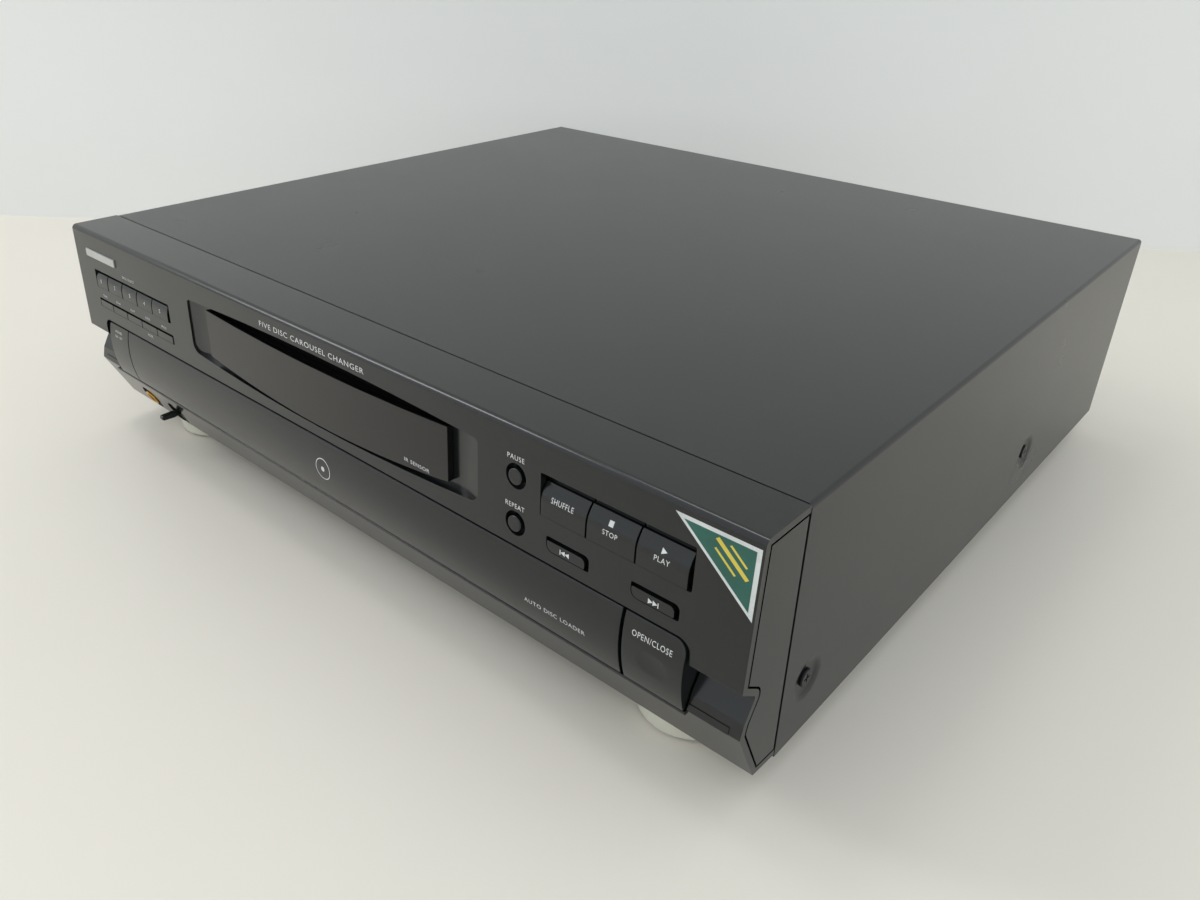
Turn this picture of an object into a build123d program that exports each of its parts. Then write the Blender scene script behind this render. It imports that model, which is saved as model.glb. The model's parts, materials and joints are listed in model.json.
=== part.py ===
"""Five-disc carousel CD changer: a hi-fi case with a sliding drawer, a turning carousel,
a tilting player deck under it and a clamp above it. Millimetres, +Z up, front towards -Y.

While it is drawn, X is zero on the centre line, Y is zero at the top front edge of the
fascia and Z is zero at the lower edge of the cover. The pieces are moved on export, so that
the origin is the middle of the footprint, on the surface that the feet stand on.
"""
import os
from math import atan2, cos, degrees, hypot, pi, radians, sin

from build123d import *

os.makedirs("parts", exist_ok=True)

# Case
case_width = 435.0
half_width = case_width / 2
case_height = 105.0
case_depth = 383.8
fascia_depth = 24.4
foot_height = 12.6
sheet = 1.0
cover_fold = 1.8
seam = 0.6

# Fascia moulding, its end outline given as places in Y and Z
fascia_wall = 2.5
top_round = 2.5
lip_y, lip_z = -3.1, 49.2
recess_y, recess_z = 5.6, 42.9
ridge_y, ridge_z = 0.3, 34.2
nose_y, nose_z = -1.3, 28.4
tip_y, tip_z = 10.7, 2.8
heel_z = 1.6
cap_seam = 0.8
cap_thickness = 2.0
cap_tongue = 3.0
cap_fit = 0.1

# Opening in the fascia for the drawer and the two large keys beside it
end_width = 20.5
band_half = half_width - end_width
band_top = 58.0
band_bottom = 28.4
band_corner = 5.0
band_gap = 0.5
band_crown_y = -5.2
band_edge_y = -3.1
tunnel_wall = 1.8
rib_height = 1.7
rib_reach = 1.6
ledge_drop = 3.4
ledge_proud = 0.35
ledge_inset = 4.5

# Display window and lens
window_half = 100.3
window_top_end = 93.2
window_top_mid = 95.7
window_side_bottom = 67.3
window_mid_bottom = 62.6
window_low_corner, window_high_corner = 5.0, 2.0
window_floor = 2.9
window_side_floor = 0.6
lens_half = 84.0
lens_top_end = 92.2
lens_top_mid = 89.4
lens_bottom_end = 69.3
lens_bottom_mid = 63.1
lens_thickness = 2.8
lens_trench = 6.0
display_half = 72.0
display_low, display_high = 68.0, 84.0

# Keys
key_gap = 0.7
key_fit = 0.3
key_foot_gap = 0.08
slot_corner = 0.6
flush_sink = 0.1
flush_corner = 0.4
key_flange = 1.2
key_travel = 1.0
stem_radius = 1.6
trio_inset, trio_width = 22.3, 64.0
trio_right = half_width - trio_inset
trio_left = trio_right - trio_width
trio_low, trio_high = 75.9, 92.3
trio_top_gap = 4.0
trio_side_gap = 1.9
trio_sink = 3.2
trio_foot = 0.9
row_inset = 18.7
disc_width, disc_first_width = 78.5, 12.6
disc_left = row_inset - half_width
disc_right = disc_left + disc_width
disc_first_gap = disc_left + disc_first_width
disc_low, disc_high = 75.4, 85.0
disc_pitch = 15.85
disc_top_gap = 1.9
disc_side_gap = 2.7
disc_sink = 1.0
disc_foot = 1.1
mode_width, mode_first_width = 78.9, 14.3
mode_left = row_inset - half_width
mode_right = mode_left + mode_width
mode_first_gap = mode_left + mode_first_width
mode_low, mode_high = 64.4, 69.3
mode_pitch = 15.8
mode_top_gap = 1.3
mode_side_gap = 1.6
skip_width = 19.6
skip_low, skip_high = 63.1, 69.1
skip_inset, skip_spacing = 3.4, 37.5
skip_left_x = trio_left + skip_inset
skip_right_x = skip_left_x + skip_spacing
skip_large_corner, skip_middle_corner, skip_small_corner = 2.8, 2.2, 0.8
skip_foot_gap = 0.2
skip_top_gap = 1.8
skip_side_gap = 2.1
round_inset = 11.65
round_x = trio_left - round_inset
pause_z, repeat_z = 86.1, 67.2
round_hole_outer = 4.85
round_hole_inner = 4.3
round_key_radius = 3.2
round_key_proud = 0.8
large_key_width = 24.9
large_key_inner = band_half - band_gap - large_key_width
power_key_gap, power_key_width = 0.3, 20.0
power_key_corner = 1.2
large_key_plate = 1.5
large_key_depth = 9.0
open_travel = 1.2
power_travel = 3.0
finger_dish = 7.2
finger_dish_depth = 0.5
finger_dish_z = 41.5

# Headphone jack and level slider on the slanted lip, placed by the distance down the lip
jack_inset, jack_down = 12.0, 20.3
jack_x = jack_inset - band_half
jack_bore = 3.25
jack_bore_length = 15.0
jack_neck = 3.9
jack_ring = 4.7
jack_ring_proud = 0.8
jack_body = 6.0
jack_length = 18.0
lip_dish = 7.6
lip_dish_depth = 0.8
level_spacing, level_down = 28.0, 20.9
level_x = jack_x + level_spacing
level_travel = 5.5
level_slot_ends = 4.2
level_slot = 2 * level_travel + level_slot_ends
level_slot_width = 4.4
level_reach = 11.0
level_tilt = 25.0
level_lever_width = 3.0
level_neck_thickness, level_paddle_thickness, level_tip_thickness = 2.2, 3.2, 2.6

# Cover screws, dimples and feet
dimple_radius = 9.5
dimple_floor_radius = 5.5
dimple_depth = 1.5
side_screw_front_y, side_screw_rear_y = 41.7, 256.4
side_screw_z = 25.0
screw_hole = 1.7
screw_head = 3.6
screw_head_height = 1.4
foot_inset, foot_front_y = 44.5, 40.0
foot_x = half_width - foot_inset
foot_rear_inset = 44.0
foot_radius = 24.0
foot_draft = 1.5
foot_wall = 2.4
foot_boss = 6.0
foot_screw_seat = 5.0
pad_radius = 19.0
pad_width = 5.0
pad_height = 2.0

# Pan and rear panel
pan_bottom_z = 0.6
pan_side_height = 33.0
pan_tab_inset, pan_tab_width = 4.5, 9.0
rear_inset = 1.0
socket_inset = 27.5
socket_x = socket_inset - half_width
socket_spacing = 14.0
socket_z = 50.0
socket_radius = 4.15
socket_bore = 1.6
socket_collar = 5.4
socket_collar_proud = 0.6
socket_reach = 9.0
inlet_inset, inlet_z = 31.5, 40.0
inlet_x = half_width - inlet_inset
inlet_width, inlet_height, inlet_depth = 14.0, 8.4, 12.0
inlet_pin_spacing = 8.6
inlet_pin_radius = 1.2

# Boards
board_thickness = 1.6
front_board_y = 17.0
switch_size = 6.0
switch_height = 3.5
board_post_radius = 2.5
board_post_inset, board_post_window_gap = 8.5, 7.7
board_post_low, board_post_high = 66.0, 98.0
power_switch_front = 42.0
power_switch_depth = 24.0
main_board_z = 7.0
main_board_front = 110.0
main_board_inset, main_board_width = 5.5, 36.0
main_board_post_inset, main_board_rear_post = 5.0, 36.8
chip_width, chip_length, chip_height = 16.0, 26.0, 4.0
transformer_inset, transformer_width = 7.5, 28.0
transformer_front, transformer_length = 262.0, 56.0
transformer_height, core_limb = 48.0, 10.0
transformer_foot = 6.0

# Drawer and its guides
drawer_key_gap, tray_step = 1.4, 0.8
drawer_half = large_key_inner - drawer_key_gap
tray_half = drawer_half - tray_step
tray_wall = 2.2
tray_wall_top = 50.0
tray_floor_z = 33.3
tray_floor = 2.5
tray_front_y = 0.0
tray_slot_half = 56.0
tray_slot_reach = 86.8
drawer_travel = 240.0
rail_gap = 1.0
rail_wall = 3.0
rail_top = 60.0
guide_gap = 0.3
frame_rear_gap = 9.0
frame_window_inner, frame_window_inset = 60.0, 23.4

# Carousel
well_radius = 60.5
wells = 5
well_web = 1.02
well_rim = 0.7
carousel_front_gap = 3.5
carousel_top = 54.0
carousel_thickness = 6.0
well_depth = 4.0
well_hole = 20.0
pickup_slot_width = 36.0
pickup_slot_reach = 65.0
gear_module = 1.5
pinion_teeth = 12
pinion_angle = 45.0
backlash = 0.2
hub_radius = 12.0
hub_drop = 6.0
axle_radius = 5.0
running_fit = 0.05
bolt_head_radius = 9.0
bolt_head_height = 2.4

# Drawer drive
drive_teeth = 16
drive_y = 60.0
rack_inset = 23.4
rack_pitch_x = rack_inset - tray_half
rack_width = 6.0
rack_height = 3.6
pulley_radius = 18.0
pulley_flange = 2.0
motor_pulley_radius = 4.0
belt_span = 44.0
belt_thickness = 1.5
motor_radius = 12.0

# Player deck, drawn level as it plays and then lowered about its rear pivot
pivot_inset, pivot_z = 27.8, 34.0
deck_tilt = 7.2
deck_half = 46.0
deck_reach = 82.8
deck_top_z = 42.0
deck_plate = 3.0
deck_pin_radius = 3.0
deck_seat_z = 53.0
platter_radius = 14.0
cone_radius = 7.3
cone_height = 2.2
sled_start = 23.0
sled_travel = 35.0
sled_front, sled_rear = 20.0, 7.0
sled_gear_teeth = 15
sled_gear_module = 0.8
lens_gap = 2.0
cam_pin_x = 30.0
cam_pin_z = 29.0
cam_pin_radius = 2.0
cam_travel = 36.0
cam_thickness = 3.0
puck_radius = 14.0
puck_flange = 19.0
puck_gap = 0.6
bridge_half_width, bridge_screw_spacing = 17.0, 24.0
bridge_ring = 26.0

lean = atan2(-lip_y, case_height - lip_z)
front = Plane(origin=(0, 0, case_height), x_dir=(1, 0, 0), z_dir=(0, -cos(lean), sin(lean)))
lip_length = hypot(tip_y - nose_y, nose_z - tip_z)
lip_out = (0, -(nose_z - tip_z) / lip_length, -(tip_y - nose_y) / lip_length)
lip = Plane(origin=(0, nose_y, nose_z), x_dir=(1, 0, 0), z_dir=lip_out)
pan_top_z = pan_bottom_z + sheet
inner_half = half_width - sheet
tray_top_z = tray_floor_z + tray_floor
well_floor_z = carousel_top - well_depth
carousel_under_z = carousel_top - carousel_thickness
well_circle = (well_radius + well_web / 2) / sin(pi / wells)
carousel_teeth = 2 * round((well_circle + well_radius + well_rim) / gear_module)
carousel_pitch_radius = gear_module * carousel_teeth / 2
carousel_y = carousel_pitch_radius + gear_module + carousel_front_gap
tray_length = carousel_y + carousel_pitch_radius + gear_module + 1.5
pinion_pitch_radius = gear_module * pinion_teeth / 2
drive_pitch_radius = gear_module * drive_teeth / 2
spindle_y = carousel_y + well_circle
deck_front_y = spindle_y - deck_reach
tray_slot_front = spindle_y - tray_slot_reach
rail_inner = tray_half + rail_gap
rail_outer = rail_inner + rail_wall
bridge_screw_x = rail_outer + 2.0
rear_panel_y = case_depth - rear_inset - sheet
pivot_y = rear_panel_y - frame_rear_gap - pivot_inset
total_front = band_crown_y
total_rear = rear_panel_y + sheet + socket_reach
to_row = Location((0, -(total_front + total_rear) / 2, foot_height))
floor_plate_top = pan_top_z + 2.5


def block(x0, x1, y0, y1, z0, z1):
    """A box given by its limits."""
    size = Box(x1 - x0, y1 - y0, z1 - z0)
    return Pos((x0 + x1) / 2, (y0 + y1) / 2, (z0 + z1) / 2) * size


def post(x, y, z0, z1, radius):
    """An upright cylinder."""
    return Pos(x, y, (z0 + z1) / 2) * Cylinder(radius, z1 - z0)


def rod_x(y, z, x0, x1, radius):
    """A cylinder along X."""
    return Pos((x0 + x1) / 2, y, z) * Rot(0, 90, 0) * Cylinder(radius, x1 - x0)


def rod_y(x, z, y0, y1, radius):
    """A cylinder along Y."""
    return Pos(x, (y0 + y1) / 2, z) * Rot(90, 0, 0) * Cylinder(radius, y1 - y0)


def rounded(points):
    """A flat face through points given as x, y and corner radius."""
    face = make_face(Polyline(*[(x, y) for x, y, r in points], close=True))
    for x, y, r in points:
        if r > 0:
            corner = face.vertices().sort_by_distance((x, y, 0))[0]
            face = fillet(corner, r)
    return face


def along_x(face, x0, x1):
    """A prism along X whose face is drawn in Y and Z."""
    return extrude(Plane.YZ.offset(x0) * face, x1 - x0)


def up(z):
    """A height as a distance up the leaning front, which is counted from its top edge."""
    return -(case_height - z) / cos(lean)


def panel(x0, x1, z0, z1, depth0, depth1, corner=0.0):
    """A block square to the leaning front, between two depths behind its surface."""
    width, height = x1 - x0, (z1 - z0) / cos(lean)
    if corner > 0:
        face = RectangleRounded(width, height, corner)
    else:
        face = Rectangle(width, height)
    place = front.location * Pos((x0 + x1) / 2, (up(z0) + up(z1)) / 2, -depth1)
    return place * extrude(face, depth1 - depth0)


def toothed(teeth, module, height, x, y, z0, turn=0.0, thin=0.0):
    """A spur gear with straight-sided teeth, one of them pointing at the angle turn."""
    pitch = module * teeth / 2
    step = 2 * pi / teeth
    root, tip = pitch - 1.2 * module, pitch + module
    points = []
    for tooth in range(teeth):
        middle = radians(turn) + tooth * step
        for radius, share in ((root, -0.36), (tip, -0.12), (tip, 0.12), (root, 0.36)):
            angle = middle + share * step - thin * (1 if share > 0 else -1) / pitch
            points.append((radius * cos(angle), radius * sin(angle)))
    return Pos(x, y, z0) * extrude(make_face(Polyline(*points, close=True)), height)


def rack(pitch_x, back, module, gap_y, y0, y1, z0, z1, side, thin=0.0):
    """A straight rack along Y with teeth towards side, and a gap between teeth at gap_y."""
    step = pi * module
    root, tip = pitch_x - side * 1.2 * module, pitch_x + side * module
    first = int((y0 - gap_y) / step - 1)
    points = [(root - side * back, y0)]
    for tooth in range(first, int((y1 - gap_y) / step) + 2):
        middle = gap_y + (tooth + 0.5) * step
        if middle - step / 2 < y0 or middle + step / 2 > y1:
            continue
        for x, share in ((root, -0.36), (tip, -0.12), (tip, 0.12), (root, 0.36)):
            points.append((x, middle + share * step - thin * (1 if share > 0 else -1)))
    points.append((root - side * back, y1))
    return Pos(0, 0, z0) * extrude(make_face(Polyline(*points, close=True)), z1 - z0)


# Fascia moulding


def end_outline():
    """The fascia seen from its end, run on behind so that the moulding stays open there."""
    back = fascia_depth + 20
    return rounded([
        (back, case_height, 0),
        (0, case_height, top_round),
        (lip_y, lip_z, 0.5),
        (recess_y, recess_z, 1.8),
        (ridge_y, ridge_z, 1.5),
        (nose_y, nose_z, 0.5),
        (tip_y, tip_z, 1.0),
        (fascia_depth, heel_z, 0),
        (back, heel_z, 0),
    ])


def band_outline(half, top, bottom, corner):
    """The opening seen from the front, with its two upper corners rounded."""
    return rounded([
        (-half, bottom, 0), (half, bottom, 0), (half, top, corner), (-half, top, corner),
    ])


def through_y(face, y0, y1):
    """A prism along Y whose face is drawn in X and Z."""
    return Pos(0, y1, 0) * extrude(Plane.XZ * face, y1 - y0)


def smile(half, top_end, top_mid, bottom_end, bottom_mid, depth0, depth1):
    """A band between two arcs on the leaning front, between two depths behind it."""
    corners = [(half, up(top_end)), (half, up(bottom_end))]
    if top_end == top_mid:
        upper = Line((-half, up(top_end)), corners[0])
    else:
        upper = ThreePointArc((-half, up(top_end)), (0, up(top_mid)), corners[0])
    lower = ThreePointArc(corners[1], (0, up(bottom_mid)), (-half, up(bottom_end)))
    sides = Line(corners[0], corners[1]), Line((-half, up(bottom_end)), (-half, up(top_end)))
    face = make_face(Curve() + [upper, sides[0], lower, sides[1]])
    return front.location * Pos(0, 0, -depth1) * extrude(face, depth1 - depth0)


def window_cut():
    """The pocket round the display: flat behind the lens, rising towards both ends."""
    outline = smile(window_half, window_top_end, window_top_mid, window_side_bottom,
                    window_mid_bottom, -3, lens_trench + 3)
    through = Axis(front.origin, front.z_dir)
    corners = outline.edges().filter_by(through).group_by(Axis.Z)
    outline = fillet(corners[-1], window_high_corner)
    corners = outline.edges().filter_by(through).group_by(Axis.Z)
    outline = fillet(corners[0], window_low_corner)
    reach = window_half + 1
    flat = lens_half + 3
    floor = make_face(Polyline(
        (-reach, 3), (-reach, -window_side_floor), (-flat, -window_floor),
        (flat, -window_floor), (reach, -window_side_floor), (reach, 3), close=True))
    tall = 60
    prism = extrude(Plane.XZ * floor, tall)
    prism = front.location * prism
    above = window_top_mid + 1
    trench = smile(lens_half, above, above, lens_top_end - 0.4, lens_top_mid - 0.4,
                   -3, lens_trench)
    return (outline & prism) + (outline & trench)


def large_key_stem_x():
    """Where the stems of the power and open keys run, as a distance from the centre line."""
    return (large_key_inner + band_half) / 2


def make_fascia():
    """The front moulding: shell, drawer opening, window pocket, key openings and posts."""
    outline = end_outline()
    solid = along_x(outline, -half_width, half_width)
    hollow = along_x(offset(outline, amount=-fascia_wall), -half_width, half_width)
    body = solid - hollow
    opening = band_outline(band_half, band_top, band_bottom, band_corner)
    frame = band_outline(band_half + tunnel_wall, band_top + tunnel_wall,
                         band_bottom - tunnel_wall, band_corner + tunnel_wall)
    tunnel = through_y(frame, lip_y, front_board_y - 1) & solid
    backing = panel(-window_half - 2, window_half + 2, window_mid_bottom - 1, window_top_mid + 1,
                    0, lens_trench + 1.6)
    body = body + tunnel + (backing & solid)
    body -= through_y(opening, lip_y - 5, fascia_depth)
    divider = large_key_plate + power_travel + band_gap
    for side in (-1, 1):
        x0 = side * (large_key_inner - 0.6)
        x1 = side * (large_key_inner + 1.0)
        wall = block(min(x0, x1), max(x0, x1), divider, front_board_y - 1,
                     band_bottom - 0.5, band_top + 0.5)
        body += wall
    rib = rounded([
        (nose_y - rib_reach, band_bottom, 0.4),
        (nose_y - rib_reach, band_bottom - rib_height + 0.6, 0.4),
        (nose_y - rib_reach + 0.8, band_bottom - rib_height, 0),
        (nose_y + 2, band_bottom - rib_height, 0),
        (nose_y + 2, band_bottom, 0),
    ])
    body += along_x(rib, -band_half, band_half)
    body += groove_ledge(-1)
    body += groove_ledge(1)
    body -= block(-half_width - 1, half_width + 1, fascia_depth, fascia_depth + 30, 0,
                  case_height + 1)
    body -= window_cut()
    body -= panel(-display_half, display_half, display_low, display_high, -1,
                  lens_trench + 3)
    body -= key_slot(trio_left, trio_right, trio_low, trio_high, trio_foot)
    body -= key_slot(disc_left, disc_right, disc_low, disc_high, disc_foot)
    body -= key_slot(mode_left, mode_right, mode_low, mode_high, slot_corner)
    for x in (skip_left_x, skip_right_x):
        body -= leaf(x, x + skip_width, skip_low, skip_high, 0, -1, fascia_wall + 1)
    for z in (pause_z, repeat_z):
        place = front.location * Pos(round_x, up(z), 0)
        body -= place * Pos(0, 0, -0.8) * Cone(round_hole_inner, round_hole_outer + 0.1, 1.8)
        body -= place * Cylinder(round_hole_inner, 12)
    outer, inner = half_width - board_post_inset, window_half + board_post_window_gap
    for side in (-1, 1):
        for x, z in ((inner, board_post_high), (outer, board_post_high), (outer, board_post_low)):
            body += rod_y(side * x, z, 0.5, front_board_y, board_post_radius)
    body -= jack_hole()
    body -= level_hole()
    return body


def groove_ledge(side):
    """The thin step in the groove beside a large key, on the slope under the ridge."""
    length = hypot(nose_y - ridge_y, nose_z - ridge_z)
    along = ((nose_y - ridge_y) / length, (nose_z - ridge_z) / length)
    top = (ridge_y + ledge_drop * along[0], ridge_z + ledge_drop * along[1])
    out = (ledge_proud * along[1], -ledge_proud * along[0])
    face = make_face(Polyline(
        (top[0] + out[0], top[1] + out[1]), (nose_y + out[0], nose_z + out[1]),
        (nose_y + 1, nose_z), (top[0] + 1, top[1]), close=True))
    x0, x1 = sorted((side * band_half, side * (half_width - ledge_inset)))
    return along_x(face, x0, x1)


def key_slot(x0, x1, z0, z1, foot):
    """A slot for a row of keys, with a round foot beside the last of them."""
    outline = rounded([
        (x0, up(z0), 0), (x1, up(z0), foot), (x1, up(z1), slot_corner),
        (x0, up(z1), slot_corner),
    ])
    deep = fascia_wall + 1
    return front.location * Pos(0, 0, -deep) * extrude(outline, deep + 1)


def leaf(x0, x1, z0, z1, inside, depth0, depth1):
    """A leaf-shaped block on the leaning front, its corners smaller by inside."""
    outline = rounded([
        (x0, up(z0), skip_large_corner - inside), (x1, up(z0), skip_small_corner - inside),
        (x1, up(z1), skip_middle_corner - inside), (x0, up(z1), skip_small_corner - inside),
    ])
    return front.location * Pos(0, 0, -depth1) * extrude(outline, depth1 - depth0)


def jack_hole():
    """The shallow dish and the hole for the headphone jack in the slanted lip."""
    place = lip.location * Pos(jack_x, -jack_down, 0)
    dish = place * Pos(0, 0, -lip_dish_depth / 2 + 0.5) * Cylinder(lip_dish, lip_dish_depth + 1)
    hole = place * Cylinder(jack_neck + cap_fit, 12)
    return dish + hole


def level_hole():
    """The shallow dish and the slot for the level slider in the slanted lip."""
    place = lip.location * Pos(level_x, -level_down, 0)
    dish = place * Pos(0, 0, -lip_dish_depth / 2 + 0.5) * Cylinder(lip_dish, lip_dish_depth + 1)
    slot = place * Box(level_slot, level_slot_width, 12)
    return dish + slot


def make_end_cap(side):
    """A flat cap that closes one end of the fascia, with a tongue behind it."""
    plate = offset(end_outline(), amount=-fascia_wall - cap_seam)
    tongue = offset(end_outline(), amount=-fascia_wall - cap_fit)
    x0 = half_width - cap_thickness
    cap = along_x(plate, x0, half_width)
    cap += along_x(tongue, x0 - cap_tongue, x0)
    cap -= block(0, half_width + 1, fascia_depth - cap_seam, fascia_depth + 40, 0, case_height)
    cap -= along_x(offset(end_outline(), amount=-fascia_wall - 3), x0 - cap_tongue - 1, x0)
    if side < 0:
        cap = mirror(cap, about=Plane.YZ)
    return cap


def make_lens():
    """The smoked display lens: a band between two arcs, seated on the pocket's floor."""
    lens = smile(lens_half, lens_top_end, lens_top_mid, lens_bottom_end, lens_bottom_mid,
                 window_floor - lens_thickness, window_floor)
    back = panel(-display_half + 0.3, display_half - 0.3, display_low + 0.3,
                 display_high - 0.3, window_floor, window_floor + 1.2)
    return lens + back


# Keys


def stem_for(x, z, depth, travel):
    """A round stem from a key's back to just short of its switch when pressed."""
    face_y = lip_y * (case_height - z) / (case_height - lip_z)
    reach = front_board_y - switch_height - travel - key_fit - face_y
    place = front.location * Pos(x, up(z), -(depth + reach) / 2)
    return place * Cylinder(stem_radius, reach - depth)


def flange_for(x0, x1, z0, z1):
    """The retaining flange of a key, just behind the fascia wall."""
    near = fascia_wall + key_fit
    return panel(x0, x1, z0 - 1, z1 + 1, near, near + key_flange)


def rocker_key(x0, x1, z0, z1, sink, top_gap):
    """A key whose face is flush below and curves back towards its top edge."""
    low, high = up(z0), up(z1)
    bend = low + 0.4 * (high - low)
    near = fascia_wall + key_fit
    depth = max(near, sink + 1)
    face = make_face(Curve() + [
        Line((low, 0), (bend, 0)),
        TangentArc((bend, 0), (high, -sink), tangent=(1, 0)),
        Line((high, -sink), (high, -depth)),
        Line((high, -depth), (low, -depth)),
        Line((low, -depth), (low, 0)),
    ])
    cap = front.location * along_x(face, x0, x1)
    cap += panel(x0, x1, z0 - 1, z1, near, depth + key_flange)
    cap += panel(x0, x1, z1 - 1, z1 + top_gap + 1, depth, depth + key_flange)
    return cap + stem_for((x0 + x1) / 2, (z0 + z1) / 2, depth, key_travel)


def flat_key(x0, x1, z0, z1):
    """A slim flush key."""
    near = fascia_wall + key_fit
    cap = panel(x0, x1, z0, z1, flush_sink, near + flush_sink, flush_corner)
    cap += flange_for(x0, x1, z0, z1)
    return cap + stem_for((x0 + x1) / 2, (z0 + z1) / 2, near, key_travel)


def skip_key(x):
    """A leaf-shaped key for previous or next, in the lower left of its opening."""
    near = fascia_wall + key_fit
    x0, x1 = x + key_fit, x + skip_width - skip_side_gap
    z0, z1 = skip_low + skip_foot_gap, skip_high - skip_top_gap
    cap = leaf(x0, x1, z0, z1, key_fit, flush_sink, near + flush_sink)
    cap += flange_for(x0, x1, z0, z1)
    return cap + stem_for((x0 + x1) / 2, (z0 + z1) / 2, near, key_travel)


def round_key(z):
    """A small round key in its dished hole."""
    place = front.location * Pos(round_x, up(z), 0)
    near = fascia_wall + key_fit
    cap = place * Pos(0, 0, (round_key_proud - near) / 2) * Cylinder(
        round_key_radius, near + round_key_proud)
    rim = cap.edges().filter_by(GeomType.CIRCLE).sort_by(Axis.Y)[0]
    cap = fillet(rim, 0.6)
    cap += place * Pos(0, 0, -near - key_flange / 2) * Cylinder(
        round_hole_inner + 0.8, key_flange)
    return cap + stem_for(round_x, z, near, key_travel)


def row_limits(left, first_gap, pitch, right, side_gap):
    """The left and right limits of five keys in one slot."""
    edges = [left + key_fit] + [first_gap + k * pitch for k in range(wells - 1)]
    limits = []
    for number, edge in enumerate(edges):
        x0 = edge if number == 0 else edge + key_gap / 2
        if number == wells - 1:
            x1 = right - side_gap
        else:
            x1 = edges[number + 1] - key_gap / 2
        limits.append((x0, x1))
    return limits


def band_face(y_back):
    """The convex front of the drawer and the large keys, drawn in Y and Z."""
    low, high = band_bottom + band_gap, band_top - band_gap
    return make_face(Curve() + [
        ThreePointArc((band_edge_y, low), (band_crown_y, (low + high) / 2), (band_edge_y, high)),
        Line((band_edge_y, high), (y_back, high)),
        Line((y_back, high), (y_back, low)),
        Line((y_back, low), (band_edge_y, low)),
    ])


def large_key(side, travel, x0, outer, corner):
    """A large key beside the drawer: a crowned plate on a hollow body with a stem."""
    low, high = band_bottom + band_gap, band_top - band_gap
    shape = rounded([(x0, low, 0), (outer, low, 0), (outer, high, corner), (x0, high, 0)])
    crown = along_x(band_face(large_key_plate), x0, outer)
    key = crown & through_y(shape, band_crown_y - 1, large_key_plate)
    inner = large_key_inner + 1.0 + band_gap
    skirt_shape = rounded([
        (inner, low, 0), (outer, low, 0), (outer, high, corner), (inner, high, 0),
    ])
    skirt = through_y(skirt_shape, large_key_plate, large_key_depth)
    skirt -= block(inner + 1.6, outer - 1.6, large_key_plate, large_key_depth + 1,
                   low + 1.6, high - 1.6)
    key += skirt
    x = large_key_stem_x()
    z = (low + high) / 2
    if side > 0:
        dish_sphere = (finger_dish ** 2 + finger_dish_depth ** 2) / (2 * finger_dish_depth)
        key -= Pos(x, band_crown_y - dish_sphere + finger_dish_depth, finger_dish_z) * Sphere(
            dish_sphere)
        stem_end = front_board_y - switch_height - travel - key_fit
    else:
        stem_end = power_switch_front - travel - key_fit
    key += rod_y(x, z, large_key_plate - 0.5, stem_end, stem_radius + 0.6)
    if side < 0:
        key = mirror(key, about=Plane.YZ)
    return key


def make_power_switch():
    """The push switch behind the power key, on its bracket from the pan."""
    x0, x1 = -large_key_stem_x() - 8, -large_key_stem_x() + 8
    z = (band_bottom + band_top) / 2
    y0, y1 = power_switch_front, power_switch_front + power_switch_depth
    body = block(x0, x1, y0, y1, z - 7, z + 7)
    body += block(x0, x1, y0 + 10, y0 + 11.5, pan_top_z, z - 7)
    return body + block(x0, x1, y0, y1, pan_top_z, pan_top_z + 1.2)


def make_level_slider():
    """The lever of the level slider, its shank and the carriage behind the lip."""
    place = lip.location * Pos(level_x, -level_down, 0)
    neck, paddle = level_neck_thickness / 2, level_paddle_thickness / 2
    tip = level_tip_thickness / 2
    start, swell = -fascia_wall / 2 - 1.5, 4.0
    blade = rounded([
        (-neck, start, 0), (-neck, 1.6, 1), (-paddle, swell, 1.5), (-tip, level_reach, tip - 0.1),
        (tip, level_reach, tip - 0.1), (paddle, swell, 1.5), (neck, 1.6, 1), (neck, start, 0),
    ])
    blade = along_x(blade, -level_lever_width / 2, level_lever_width / 2)
    lever = place * Pos(0, 0, -fascia_wall / 2) * Rot(-level_tilt, 0, 0) * blade
    carriage = place * Pos(0, 0, -fascia_wall - key_fit - 2.5) * Box(8, 6, 5)
    return lever + carriage


def make_level_pot():
    """The slide potentiometer that carries the lever, standing against the lip's inside."""
    place = lip.location * Pos(level_x, -level_down, 0)
    length = level_slot + 12
    deep = fascia_wall + 5.0
    body = place * Pos(0, 0, -deep - 2.5) * Box(length, 8, 4)
    for side in (-1, 1):
        body += place * Pos(side * (length / 2 - 1.5), 0, -(deep + fascia_wall) / 2 - 0.3) * Box(
            3, 8, deep - fascia_wall + 0.6)
    return body


def make_jack():
    """The headphone jack: a round body behind the lip and a gilt ring in front of it."""
    place = lip.location * Pos(jack_x, -jack_down, 0)
    ring = place * Pos(0, 0, (jack_ring_proud - lip_dish_depth) / 2) * Cylinder(
        jack_ring, jack_ring_proud + lip_dish_depth)
    neck = place * Pos(0, 0, -fascia_wall / 2 - 0.5) * Cylinder(jack_neck, fascia_wall + 1)
    body = place * Pos(0, 0, -fascia_wall - jack_length / 2 + 1) * Cylinder(
        jack_body, jack_length - 2)
    jack = ring + neck + body
    bore_end = jack_ring_proud - jack_bore_length
    return jack - place * Pos(0, 0, (bore_end + jack_ring_proud + 1) / 2) * Cylinder(
        jack_bore, jack_bore_length + 1)


# Case


def side_screws():
    """The places of the screws in the cover's sides, as Y and Z."""
    return [(side_screw_front_y, side_screw_z), (side_screw_rear_y, side_screw_z)]


def rear_screw_places():
    """The places of the screws in the cover's rear flange, as X."""
    return [-0.4 * case_width, 0.0, 0.4 * case_width]


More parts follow.
